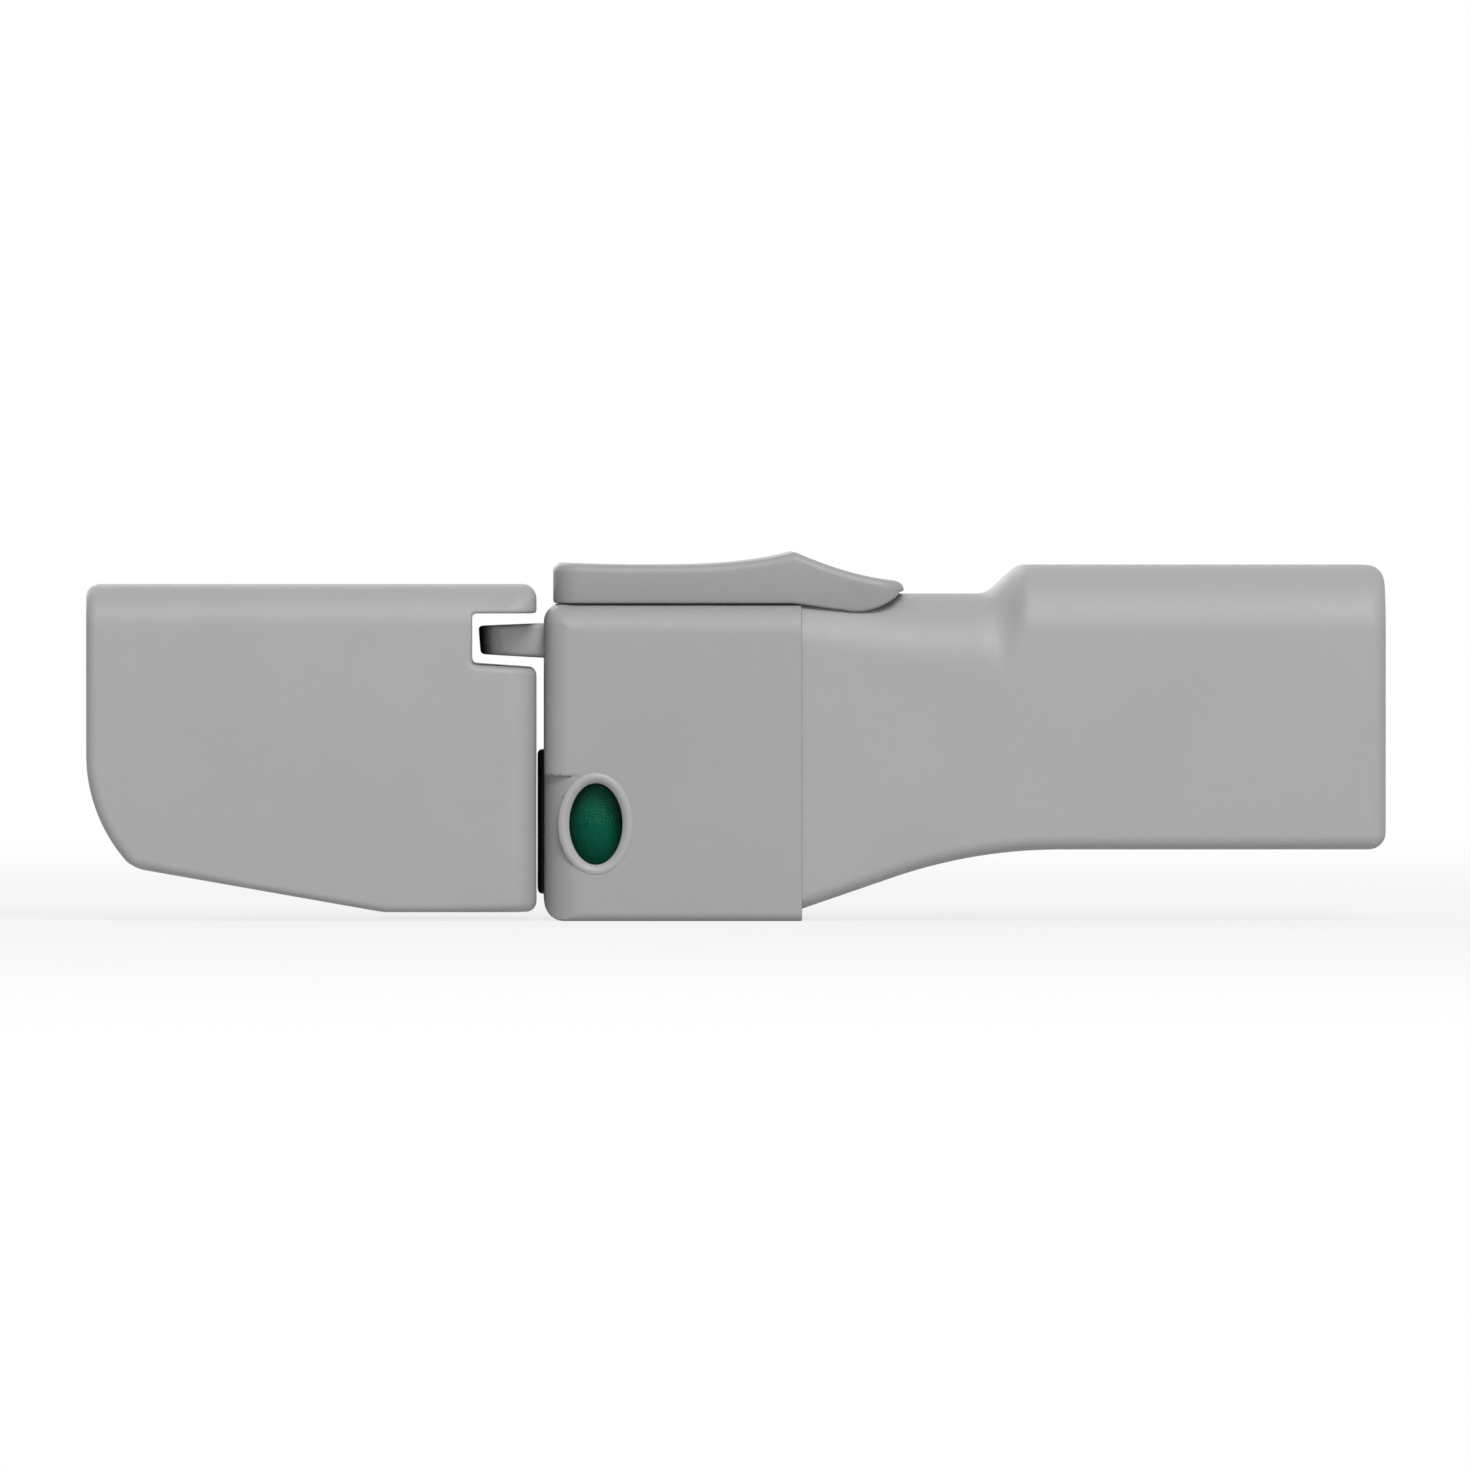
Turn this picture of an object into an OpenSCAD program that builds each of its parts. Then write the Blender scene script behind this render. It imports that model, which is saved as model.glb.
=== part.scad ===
// Latch of a stair gate: a catch housing that caps the corner of the gate frame, and the lock head
// and handle of the door, with a sprung tongue, a thumb slider and a green and red indicator.
// X runs along the gate towards the door, Y from front to back, Z up. The origin is where the axes
// of the frame's post and top rail cross, in the middle of both tubes.

/* [Frame tubes] */
// Width of the frame's square post and top rail
tube_w = 30; // [26:0.5:34]
// Outside corner radius of the square tubes
tube_r = 2; // [1:0.25:3]
// Clearance between a tube and the housing on it, each side
tube_gap = 0.25; // [0.1:0.05:0.5]
// Width of the door's square top rail
door_rail_w = 25; // [20:0.5:26]
// How far the door's top rail reaches into the handle
door_rail_in = 40; // [25:1:42]
// Diameter of the door's first spindle
spindle_d = 11; // [8:0.5:12]
// How deep the spindle goes into its boss
spindle_in = 18; // [12:1:18]

/* [Catch housing] */
// Wall over the front and the back of the tubes
catch_wall = 2.75; // [2:0.25:5]
// Wall over the top of the rail
catch_roof = 3.25; // [2.5:0.25:6]
// How far the housing reaches over the rail, past the post
catch_over_rail = 3.9; // [2:0.1:10]
// How far the housing reaches towards the door, past the post
catch_nose = 18.5; // [17:0.5:30]
// How far the housing reaches below the rail, at the nose
catch_drop = 4.6; // [3:0.1:9]
// Radius of the curve at the lower left of the housing
catch_sweep_r = 18.9; // [14:0.1:18.9]
// Radius along the top edges
catch_top_r = 4.8; // [3:0.1:6]
// Radius along the upright edges beside the door
catch_side_r = 3.5; // [2:0.1:4.5]

/* [Notch for the tongue] */
// Depth of the notch, from the door side
notch_deep = 7.5; // [6:0.1:9]
// Height of the notch
notch_h = 5.95; // [5.6:0.05:7]
// Thickness of the lip above the notch
lip_t = 3.3; // [2.5:0.1:5]
// How much the floor of the notch falls towards the door
notch_fall = 0.5; // [0:0.1:0.8]

/* [Lock head] */
// Gap between the catch and the lock head
door_gap = 0.9; // [0.6:0.1:2]
// Length of the lock head
head_l = 30; // [29:0.5:36]
// Height of the lock head's top
head_top = 16.3; // [16:0.1:17]
// Height of the lock head's underside
head_bottom = -20.6; // [-24:0.1:-20]
// Depth of the lock head, front to back
head_d = 35; // [34.5:0.5:42]
// Wall of the lock head and handle
shell_wall = 2; // [1.6:0.1:2.2]
// Radius along the top edges of the lock head
head_top_r = 3.5; // [2.5:0.1:4]
// Radius along its upright edges beside the catch
head_side_r = 3; // [2:0.1:4]
// Radius of its corners as seen from the front
head_corner_r = 2.3; // [1:0.1:3]

/* [Handle] */
// Length of the handle past the lock head
handle_l = 68; // [66:1:90]
// Step in from the lock head to the handle, all round
handle_step = 0.7; // [0.3:0.1:1.2]
// Height of the flat on which the slider runs
runway_z = 17.4; // [17:0.1:18]
// Height of the grip behind the slider
grip_z = 20.8; // [19.5:0.1:23]
// Height of the grip's underside
grip_low = -12.3; // [-15:0.1:-11.8]
// Slope of the underside between lock head and grip, in degrees
belly_slope = 19; // [16:1:24]
// Radius along the top edges of the handle
grip_r = 8; // [5:0.5:9]
// Chamfer round the end of the handle
end_chamfer = 1.5; // [0.5:0.1:2]

/* [Thumb slider and tongue] */
// Travel of the slider and the tongue
travel = 8.5; // [7.8:0.1:9]
// Length of the slider
slider_l = 40.8; // [40:0.1:41.5]
// Width of the slider, front to back
slider_d = 33.2; // [32.8:0.1:33.4]
// Height of the slider's thumb dish
dish_z = 20.8; // [20:0.1:21.5]
// Height of the slider's ridge
ridge_z = 22.4; // [21.8:0.1:24]
// Where the ridge stands, from the slider's left end
ridge_x = 28; // [26:0.1:30]
// Height of the slider's tail
tail_z = 18.9; // [18.8:0.1:19.6]
// Width of the tongue, front to back
tongue_w = 14; // [11:0.5:14.4]
// Thickness of the tongue
tongue_t = 4.1; // [3.6:0.1:4.1]
// How far the tongue stands out of the lock head
tongue_out = 7.7; // [6:0.1:7.9]
// Clearance round sliding pieces
slip = 0.3; // [0.2:0.05:0.4]

/* [Indicator and feeler] */
// Width of the oval window
window_w = 6.2; // [5:0.1:6.4]
// Height of the oval window
window_h = 9.5; // [8:0.1:10.5]
// Distance of the window's middle from the lock head's end
window_x = 6; // [5.9:0.1:6.6]
// Height of the window's middle
window_z = -9.3; // [-9.6:0.1:-9]
// Width of the rim round the window
bezel_w = 1.3; // [1:0.1:1.4]
// Radius of the coloured drum
drum_r = 3.7; // [3.3:0.1:3.7]
// Travel of the feeler
feeler_travel = 5; // [4:0.1:5]
// Height of the feeler
feeler_h = 16.8; // [15:0.1:16.8]
// Width of the feeler, front to back
feeler_w = 14; // [10:0.5:14]
// Gap between the pressed feeler and the catch
feeler_gap = 0.15; // [0.1:0.05:0.3]

/* [Screws and springs] */
// Shank diameter of the housing screws
screw_d = 3; // [2.5:0.1:3.2]
// Head diameter of the housing screws
screw_head_d = 5.6; // [5:0.1:6]
// Diameter of the holes for the screws into the tubes
fixing_d = 4.2; // [3:0.1:5]
// Distance between the two holes for those screws
fixing_pitch = 16; // [12:0.5:20]
// Diameter of the rod inside the tongue's spring
rod_d = 1.6; // [1.2:0.1:2]
// Wire of the springs
wire_d = 0.5; // [0.4:0.05:0.6]
// Turns of each spring
spring_turns = 8; // [6:1:9]

/* [Hidden] */
$fn = 48;
eps = 0.01;
// Reach of the blocks that only cut or keep a side
far = 200;

plastic = [0.66, 0.66, 0.66];
plastic_mid = [0.58, 0.58, 0.58];
steel = [0.75, 0.76, 0.78];

// Catch housing, from the tubes outwards
half_tube = tube_w / 2;
socket = half_tube + tube_gap;
catch_d = 2 * (socket + catch_wall);
catch_top = socket + catch_roof;
catch_left = -(half_tube + catch_over_rail);
catch_right = half_tube + catch_nose;
catch_low = -(half_tube + catch_drop);
sweep_z = -1.2;
foot_x = -13.6;
foot_z = -14.4;
knee_x = half_tube + 0.9;
notch_x = catch_right - notch_deep;
notch_top = catch_top - lip_t;
notch_floor = notch_top - notch_h;
nose_wall = 2.7;
nose_x0 = socket + nose_wall;
nose_x1 = catch_right - nose_wall;
nose_z0 = catch_low + nose_wall;
nose_z1 = notch_floor - notch_fall - 2.4;

// Lock head, and how far from its end the pieces inside stand
head_x0 = catch_right + door_gap;
feeler_wall_at = 15.6;
lug_at = 21.8;
tongue_tail_at = 23.6;
spindle_at = 39.55;
stop_at = 39.6;
head_x1 = head_x0 + head_l;
head_in_x = head_x0 + shell_wall;
head_in_y = head_d / 2 - shell_wall;
head_in_top = head_top - shell_wall;
head_in_low = head_bottom + shell_wall;

// Handle
handle_d = head_d - 2 * handle_step;
handle_x1 = head_x1 + handle_l;
belly_z = head_bottom + handle_step + 0.7;
belly_r = 60;
belly_k = tan(belly_slope);
// The slope runs on until an arc of radius belly_r carries it level at the grip's underside
arc_rise = belly_r * (1 - cos(belly_slope));
bend_x = head_x1 + (grip_low - arc_rise - belly_z) / belly_k;
level_x = bend_x + belly_r * sin(belly_slope);
spigot_l = 4;
spigot_t = 1.3;
spigot_gap = 0.1;

// Slider
slider_x0 = head_x0 + 1.1;
slider_x1 = slider_x0 + slider_l;
slider_low = head_top + slip;
skirt_low = slider_low - 1.2;
skirt_t = 2;
ridge_at = slider_x0 + ridge_x;
runway_x1 = slider_x1 + travel + 0.5;
ramp_l = 5.5;
tunnel_x = head_x1 - travel - 0.4;

// Tongue, under the roof of the lock head
tongue_top = head_in_top - slip;
tongue_low = tongue_top - tongue_t;
tongue_z = (tongue_top + tongue_low) / 2;
tongue_x0 = head_x0 - tongue_out;
tongue_x1 = head_x0 + tongue_tail_at;
post_x0 = head_in_x + slip + 0.1;
post_l = 10;
post_w = 8;
slider_screw_x = [post_x0 + 2.3, post_x0 + post_l - 2.3];
slot_x1 = post_x0 + post_l + travel + slip;

// Chassis inside the lock head and the handle
deck_t = 2;
deck_top = tongue_low - slip;
deck_low = deck_top - deck_t;
rail_in = tongue_w / 2 + slip;
rail_t = 2;
chassis_x0 = head_in_x + slip + 0.3;
stop_x = head_x0 + stop_at;
stop_t = 3;
wall_x = head_x0 + feeler_wall_at;
wall_t = 2;
lug_x = head_x0 + lug_at;
lug_z = [2.5, -14];
lug_r = 3.4;
lug_y = 9;
spindle_x = head_x0 + spindle_at;
boss_r = spindle_d / 2 + 2.6;
boss_low = belly(spindle_x + boss_r) + shell_wall + slip;

// Indicator: a drum on an upright pin behind the window, geared to the feeler
drum_x = head_x0 + window_x + 0.2;
drum_y = -(head_in_y - slip - drum_r);
drum_pin_r = 1;
drum_core_r = drum_r - 1;
drum_z0 = window_z - window_h / 2 - 2.2;
drum_z1 = window_z + window_h / 2 + 1.3;
module_g = 0.5;
pinion_teeth = 10;
pinion_r = module_g * pinion_teeth / 2;
feeler_top = window_z + 0.1 + feeler_h / 2;
feeler_low = feeler_top - feeler_h;
mid_deck_low = feeler_top + slip;
gear_z0 = drum_z1 + 0.5;
gear_z1 = feeler_top;
turn = feeler_travel / pinion_r * 180 / PI;
feeler_x0 = catch_right + feeler_gap;
feeler_x1 = head_in_x + feeler_travel + slip;
feeler_stop = 1.5;
feeler_side_gap = 0.8;
feeler_y0 = drum_y + drum_r + feeler_side_gap;
feeler_y1 = feeler_y0 + feeler_w;
rack_y = drum_y + pinion_r;
rack_x0 = drum_x - 1.8;
rack_x1 = drum_x + feeler_travel + 3;
feeler_spring_y = (feeler_y0 + feeler_y1) / 2 + 1;
feeler_spring_r = 2.8;
coil_r = 2 - wire_d / 2;

// Screws
boss_y = catch_d / 2 - catch_wall;
screw_r = screw_d / 2;
pilot_boss_r = screw_r + 1.6;
screw_seat = 5;
catch_screw_x = (nose_x0 + nose_x1) / 2;
catch_screw_z = [nose_z0 + 4.4, nose_z1 - 4.4];
rail_z = 3.6;
handle_screw = [[runway_x1 + 1, 9], [runway_x1 + 1, -7]];
fixing_x = handle_x1 - door_rail_in / 2 - fixing_pitch / 2;

// ---- Outlines and prisms ----

// A drawing in X and Z, made solid from y0 to y1
module front_prism(y0, y1) {
    translate([0, y1, 0]) rotate([90, 0, 0]) linear_extrude(y1 - y0) children();
}

// A drawing in Y and Z, made solid from x0 to x1
module side_prism(x0, x1) {
    translate([x0, 0, 0]) rotate([90, 0, 90]) linear_extrude(x1 - x0) children();
}

// A drawing in X and Y, made solid from z0 to z1
module plan_prism(z0, z1) {
    translate([0, 0, z0]) linear_extrude(z1 - z0) children();
}

// What a rounded corner takes off a square one at the origin
module corner(r) {
    if (r > 0) {
        translate([-eps, -eps])
        difference() {
            square(r + eps);
            translate([r + eps, r + eps]) circle(r);
        }
    }
}

// A rectangle with its own radius at each corner: lower left, lower right, upper right, upper left
module soft_rect(x0, x1, y0, y1, r) {
    difference() {
        translate([x0, y0]) square([x1 - x0, y1 - y0]);
        translate([x0, y0]) corner(r[0]);
        translate([x1, y0]) mirror([1, 0]) corner(r[1]);
        translate([x1, y1]) rotate(180) corner(r[2]);
        translate([x0, y1]) mirror([0, 1]) corner(r[3]);
    }
}

// An upright oval of half-width a and half-height b
module oval(a, b) {
    polygon([for (i = [0:47]) [a * cos(i * 7.5), b * sin(i * 7.5)]]);
}

module box(x0, x1, y0, y1, z0, z1) {
    translate([x0, y0, z0]) cube([x1 - x0, y1 - y0, z1 - z0]);
}

// A cylinder along Y
module y_rod(x, z, r, y0, y1) {
    translate([x, y0, z]) rotate([-90, 0, 0]) cylinder(h = y1 - y0, r = r);
}

// A cylinder along X
module x_rod(y, z, r, x0, x1) {
    translate([x0, y, z]) rotate([0, 90, 0]) cylinder(h = x1 - x0, r = r);
}

module front_half() {
    intersection() {
        children();
        box(-far, 2 * far, -far, 0, -far, far);
    }
}

module rear_half() {
    intersection() {
        children();
        box(-far, 2 * far, 0, far, -far, far);
    }
}

// A pan-head screw that points along -Z from its seat at the origin
module screw(shank_r, head_r, head_t, length) {
    difference() {
        union() {
            cylinder(h = head_t, r = head_r);
            translate([0, 0, -length]) cylinder(h = length + eps, r = shank_r);
        }
        for (a = [0, 90]) {
            rotate(a)
            translate([-head_r * 0.6, -0.35, head_t - 1])
            cube([head_r * 1.2, 0.7, 1 + eps]);
        }
    }
}

// The same screw, driven from the back towards the front
module back_screw(x, z, seat_y, length) {
    translate([x, seat_y, z])
    rotate([-90, 0, 0])
    screw(screw_r, screw_head_d / 2, 2.1, length);
}

// A coil spring along X, from x0 to x1
module coil(x0, x1, y, z, r) {
    rings = spring_turns * 12;
    sides = 6;
    start = x0 + wire_d / 2;
    run = x1 - x0 - wire_d;
    points = [for (i = [0:rings]) for (k = [0:sides - 1])
        let (a = i * 30, b = k * 360 / sides, q = r + wire_d / 2 * cos(b))
        [start + run * i / rings + wire_d / 2 * sin(b), y + q * cos(a), z + q * sin(a)]];
    skin = [for (i = [0:rings - 1]) for (k = [0:sides - 1])
        let (n = (k + 1) % sides)
        [i * sides + k, i * sides + n, (i + 1) * sides + n, (i + 1) * sides + k]];
    first = [for (k = [sides - 1:-1:0]) k];
    last = [for (k = [0:sides - 1]) rings * sides + k];
    polyhedron(points, concat(skin, [first, last]));
}

// ---- Catch housing ----

module catch_outline() {
    difference() {
        soft_rect(catch_left, catch_right, catch_low, catch_top, [0, 1.3, 1.4, 0.8]);
        // the curve at the lower left
        difference() {
            translate([catch_left - 1, catch_low - 1])
            square([catch_sweep_r + 1, sweep_z - catch_low + 1]);
            translate([catch_left + catch_sweep_r, sweep_z]) circle(catch_sweep_r);
        }
        // the slope under the tubes
        polygon([[catch_left - 1, catch_low - 1], [knee_x, catch_low - 1], [knee_x, catch_low],
            [foot_x, foot_z], [catch_left - 1, foot_z]]);
    }
}

module notch_outline() {
    union() {
        polygon([[notch_x, notch_floor], [catch_right + 1, notch_floor - notch_fall],
            [catch_right + 1, notch_top], [notch_x, notch_top]]);
        translate([catch_right, notch_floor - notch_fall]) rotate(180) corner(1);
    }
}

module catch_solid() {
    difference() {
        intersection() {
            front_prism(-catch_d / 2, catch_d / 2) catch_outline();
            side_prism(catch_left, catch_right)
                soft_rect(-catch_d / 2, catch_d / 2, catch_low, catch_top,
                    [0.8, 0.8, catch_top_r, catch_top_r]);
            plan_prism(catch_low, catch_top)
                soft_rect(catch_left, catch_right, -catch_d / 2, catch_d / 2,
                    [1, catch_side_r, catch_side_r, 1]);
        }
        front_prism(-catch_d, catch_d) notch_outline();
        // sockets of the rail and of the post
        side_prism(catch_left - 5, socket)
            soft_rect(-socket, socket, -socket, socket, [tube_r, tube_r, tube_r, tube_r]);
        plan_prism(catch_low - 5, 0)
            soft_rect(-socket, socket, -socket, socket, [tube_r, tube_r, tube_r, tube_r]);
        // hollow of the nose
        box(nose_x0, nose_x1, -boss_y, boss_y, nose_z0, nose_z1);
    }
}

module catch_front() {
    color(plastic)
    difference() {
        union() {
            front_half() catch_solid();
            for (z = catch_screw_z) {
                y_rod(catch_screw_x, z, pilot_boss_r, -boss_y - 0.5, 0);
            }
        }
        for (z = catch_screw_z) {
            y_rod(catch_screw_x, z, screw_r, -12, 1);
        }
    }
}

module catch_rear() {
    color(plastic)
    difference() {
        union() {
            rear_half() catch_solid();
            for (z = catch_screw_z) {
                y_rod(catch_screw_x, z, screw_head_d / 2 + 1.4, 0, boss_y + 0.5);
            }
        }
        for (z = catch_screw_z) {
            y_rod(catch_screw_x, z, screw_r + 0.2, -1, catch_d);
            y_rod(catch_screw_x, z, screw_head_d / 2 + 0.3, catch_d / 2 - screw_seat, catch_d);
        }
        for (s = [-1, 1]) {
            y_rod(s * fixing_pitch / 2, 0, fixing_d / 2, 1, catch_d);
        }
    }
}

module catch_screws() {
    color(steel)
    for (z = catch_screw_z) {
        back_screw(catch_screw_x, z, catch_d / 2 - screw_seat, catch_d / 2 - screw_seat + 11);
    }
}

// ---- Lock head ----

module head_form(inset, open_end) {
    x0 = head_x0 + inset;
    y = head_d / 2 - inset;
    z0 = head_bottom + inset;
    z1 = head_top - inset;
    x1 = head_x1 + open_end;
    corner_r = max(head_corner_r - inset, 0.4);
    top_r = max(head_top_r - inset, 0.6);
    side_r = max(head_side_r - inset, 0.6);
    intersection() {
        front_prism(-y, y) soft_rect(x0, x1, z0, z1, [corner_r, 0.6, 0, corner_r]);
        side_prism(x0, x1) soft_rect(-y, y, z0, z1, [1, 1, top_r, top_r]);
        plan_prism(z0, z1) soft_rect(x0, x1, -y, y, [side_r, 0, 0, side_r]);
    }
}

// The hollow lock head with every opening in its walls
module head_solid() {
    difference() {
        head_form(0, 0);
        head_form(shell_wall, 5);
        // the tongue comes out of the end
        box(head_x0 - 1, head_in_x + 1, -tongue_w / 2 - slip, tongue_w / 2 + slip,
            tongue_low - slip, tongue_top + slip);
        // so does the feeler
        box(head_x0 - 1, head_in_x + 1, feeler_y0 - slip, feeler_y1 + slip,
            feeler_low - slip, feeler_top + slip);
        box(head_x0 - 1, head_in_x + 1, rack_y - module_g - slip, 0, gear_z0 - slip, feeler_top + slip);
        // the tongue's post runs in a slot in the roof
        box(post_x0 - slip, slot_x1, -post_w / 2 - slip, post_w / 2 + slip, head_in_top - 1, head_top + 1);
    }
}

module head_bosses(y0, y1) {
    for (z = lug_z) {
        y_rod(lug_x, z, screw_head_d / 2 + 1.2, y0, y1);
    }
}

module head_front() {
    color(plastic_mid)
    difference() {
        union() {
            front_half() head_solid();
            head_bosses(-head_in_y - 0.5, -lug_y);
        }
        for (z = lug_z) {
            y_rod(lug_x, z, screw_r, -head_in_y + 0.5, 0);
        }
        // seat of the window's rim
        front_prism(-head_d, -head_in_y)
            translate([head_x0 + window_x, window_z])
            oval(window_w / 2 + bezel_w, window_h / 2 + bezel_w);
        // a shallow relief carries the rim round to the end
        plan_prism(window_z - window_h / 2 - 0.6, window_z + window_h / 2 + 0.85)
            difference() {
                translate([head_x0 - 1, -head_d / 2 - 1]) square([window_x + 1, 6]);
                soft_rect(head_x0 + 0.3, head_x1, -head_d / 2 + 0.3, head_d, [head_side_r + 1, 0, 0, 0]);
            }
    }
}

module head_rear() {
    color(plastic_mid)
    difference() {
        union() {
            rear_half() head_solid();
            head_bosses(lug_y, head_in_y + 0.5);
        }
        for (z = lug_z) {
            y_rod(lug_x, z, screw_r + 0.2, 0, head_d);
            y_rod(lug_x, z, screw_head_d / 2 + 0.3, head_d / 2 - screw_seat, head_d);
        }
    }
}

module head_screws() {
    color(steel)
    for (z = lug_z) {
        back_screw(lug_x, z, head_d / 2 - screw_seat, head_d / 2 - screw_seat + head_in_y - 1);
    }
}

// ---- Handle ----

// Height of the underside: a slope out of the lock head, then an arc that levels at the grip
function belly(x) =
    x < bend_x ? belly_z + (x - head_x1) * belly_k :
    x < level_x ? grip_low - belly_r * (1 - cos(asin((level_x - x) / belly_r))) :
    grip_low;

// Height of the top: the flat under the slider, then a smooth rise to the grip
function crown(x) =
    let (t = min(max((x - runway_x1) / ramp_l, 0), 1))
    runway_z + (grip_z - runway_z) * (1 - cos(180 * t)) / 2;

module handle_outline(inset, x0, x1) {
    steps = 40;
    xs = [for (i = [0:steps]) x0 + (x1 - x0) * i / steps];
    polygon(concat(
        [for (x = xs) [x, belly(x) + inset]],
        [for (i = [steps:-1:0]) [xs[i], crown(xs[i]) - inset]]));
}

module handle_plan(inset, x0, x1) {
    y = handle_d / 2 - inset;
    c = end_chamfer;
    polygon([[x0, -y], [x1 - c, -y], [x1, c - y], [x1, y - c], [x1 - c, y], [x0, y]]);
}

module handle_form(inset, x0, x1) {
    y = handle_d / 2 - inset;
    r = grip_r - inset;
    intersection() {
        front_prism(-y, y) handle_outline(inset, x0, x1);
        plan_prism(-far, far) handle_plan(inset, x0, x1);
        union() {
            side_prism(x0, runway_x1) soft_rect(-y, y, -far, runway_z - inset, [0, 0, r, r]);
            side_prism(runway_x1, x1) soft_rect(-y, y, -far, grip_z - inset, [0, 0, r, r]);
        }
    }
}

// The handle's body with a rim that plugs into the lock head, hollow for the lock and the rail
module handle_solid() {
    flange = head_x1 + 1.2;
    guide = rail_in + rail_t + slip;
    difference() {
        union() {
            handle_form(0, head_x1, handle_x1);
            intersection() {
                head_form(shell_wall + spigot_gap, 5);
                box(head_x1 - spigot_l, head_x1 + 0.5, -far, far, -far, far);
            }
        }
        intersection() {
            head_form(shell_wall + spigot_gap + spigot_t, 5);
            box(head_x1 - spigot_l - 1, flange + 0.1, -far, far, -far, far);
        }
        box(head_x1 - spigot_l - 1, flange + 0.1, -guide, guide, deck_low - slip, tongue_top + slip);
        handle_form(shell_wall, flange, handle_x1 - door_rail_in - 2);
        // socket of the door's top rail
        side_prism(handle_x1 - door_rail_in, handle_x1 + 5)
            translate([0, rail_z])
            soft_rect(-door_rail_w / 2 - tube_gap, door_rail_w / 2 + tube_gap,
                -door_rail_w / 2 - tube_gap, door_rail_w / 2 + tube_gap, [tube_r, tube_r, tube_r, tube_r]);
        // hole round the spindle
        translate([spindle_x, 0, -far]) cylinder(h = far, r = spindle_d / 2 + 0.4);
    }
}

module handle_front() {
    color(plastic)
    difference() {
        union() {
            front_half() handle_solid();
            for (p = handle_screw) {
                y_rod(p[0], p[1], pilot_boss_r, 1 - handle_d / 2, 0);
            }
        }
        for (p = handle_screw) {
            y_rod(p[0], p[1], screw_r, -11, 1);
        }
    }
}

module handle_rear() {
    color(plastic)
    difference() {
        union() {
            rear_half() handle_solid();
            for (p = handle_screw) {
                y_rod(p[0], p[1], screw_head_d / 2 + 1.2, 0, handle_d / 2 - 1);
            }
        }
        for (p = handle_screw) {
            y_rod(p[0], p[1], screw_r + 0.2, -1, handle_d);
            y_rod(p[0], p[1], screw_head_d / 2 + 0.3, handle_d / 2 - screw_seat, handle_d);
        }
        for (s = [0, 1]) {
            y_rod(fixing_x + s * fixing_pitch, rail_z, fixing_d / 2, 1, handle_d);
        }
    }
}

module handle_screws() {
    color(steel)
    for (p = handle_screw) {
        back_screw(p[0], p[1], handle_d / 2 - screw_seat, handle_d / 2 - screw_seat + 10);
    }
}

// ---- Chassis ----

module lock_chassis() {
    color([0.32, 0.33, 0.34])
    difference() {
        union() {
            // deck that the tongue slides on, with a rail at each side
            box(chassis_x0, stop_x + stop_t, -rail_in - rail_t, rail_in + rail_t, deck_low, deck_top);
            for (s = [-1, 1]) {
                box(chassis_x0, stop_x + stop_t, min(s * rail_in, s * (rail_in + rail_t)),
                    max(s * rail_in, s * (rail_in + rail_t)), deck_low, tongue_top);
            }
            // stop behind the tongue's spring
            box(stop_x, stop_x + stop_t, -rail_in - rail_t, rail_in + rail_t, deck_low, tongue_top);
            // wall behind the feeler, and the bearings of the drum's pin
            box(wall_x, wall_x + wall_t, drum_y - 3, rail_in + rail_t, head_in_low + 0.1, deck_low + eps);
            box(chassis_x0, wall_x + eps, drum_y - 3, rail_in + rail_t, mid_deck_low, mid_deck_low + deck_t);
            box(chassis_x0 + 1, wall_x + eps, drum_y - 3, drum_y + 3, head_in_low + 0.1, drum_z0 - 0.2);
            // lugs that the housing screws pass through
            for (z = lug_z) {
                y_rod(lug_x, z, lug_r, -lug_y, lug_y);
                box(wall_x + wall_t - eps, lug_x, -lug_y, lug_y, z - 1, z + 1);
            }
            // boss of the spindle
            translate([spindle_x, 0, boss_low]) cylinder(h = deck_low - boss_low + eps, r = boss_r);
        }
        for (z = lug_z) {
            y_rod(lug_x, z, screw_r + 0.2, -lug_y - 1, lug_y + 1);
        }
        translate([drum_x, drum_y, -far]) cylinder(h = far + mid_deck_low + deck_t + 1, r = drum_pin_r);
        x_rod(0, tongue_z, rod_d / 2, stop_x - 1, stop_x + stop_t + 1);
        translate([spindle_x, 0, boss_low - 1]) cylinder(h = spindle_in + 1, r = spindle_d / 2 + 0.1);
    }
}

module drum_pin() {
    color(steel)
    translate([drum_x, drum_y, head_in_low + 0.1])
        cylinder(h = mid_deck_low + deck_t - head_in_low - 0.1, r = drum_pin_r);
}

module spring_rod() {
    color(steel)
    x_rod(0, tongue_z, rod_d / 2, tongue_x1 - 1, stop_x + stop_t);
}

module tongue_spring() {
    color(steel)
    coil(tongue_x1, stop_x, 0, tongue_z, coil_r);
}

module feeler_spring() {
    color(steel)
    coil(feeler_x1 + feeler_stop - 7, wall_x, feeler_spring_y, window_z, feeler_spring_r - wire_d / 2);
}

// ---- Slider and tongue ----

// Height of the slider's top: a shallow dish, a ridge, and a falling tail
function back_line(x) =
    let (d = slider_x0 + 10.5, run = slider_x1 - ridge_at)
    x < d ? dish_z + 0.2 * pow((d - x) / 9, 2) :
    x < ridge_at ? dish_z + (ridge_z - dish_z) * pow((x - d) / (ridge_at - d), 3) :
    tail_z + (ridge_z - tail_z) * pow(max(1 - (x - ridge_at) / run, 0), 1.6);

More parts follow.
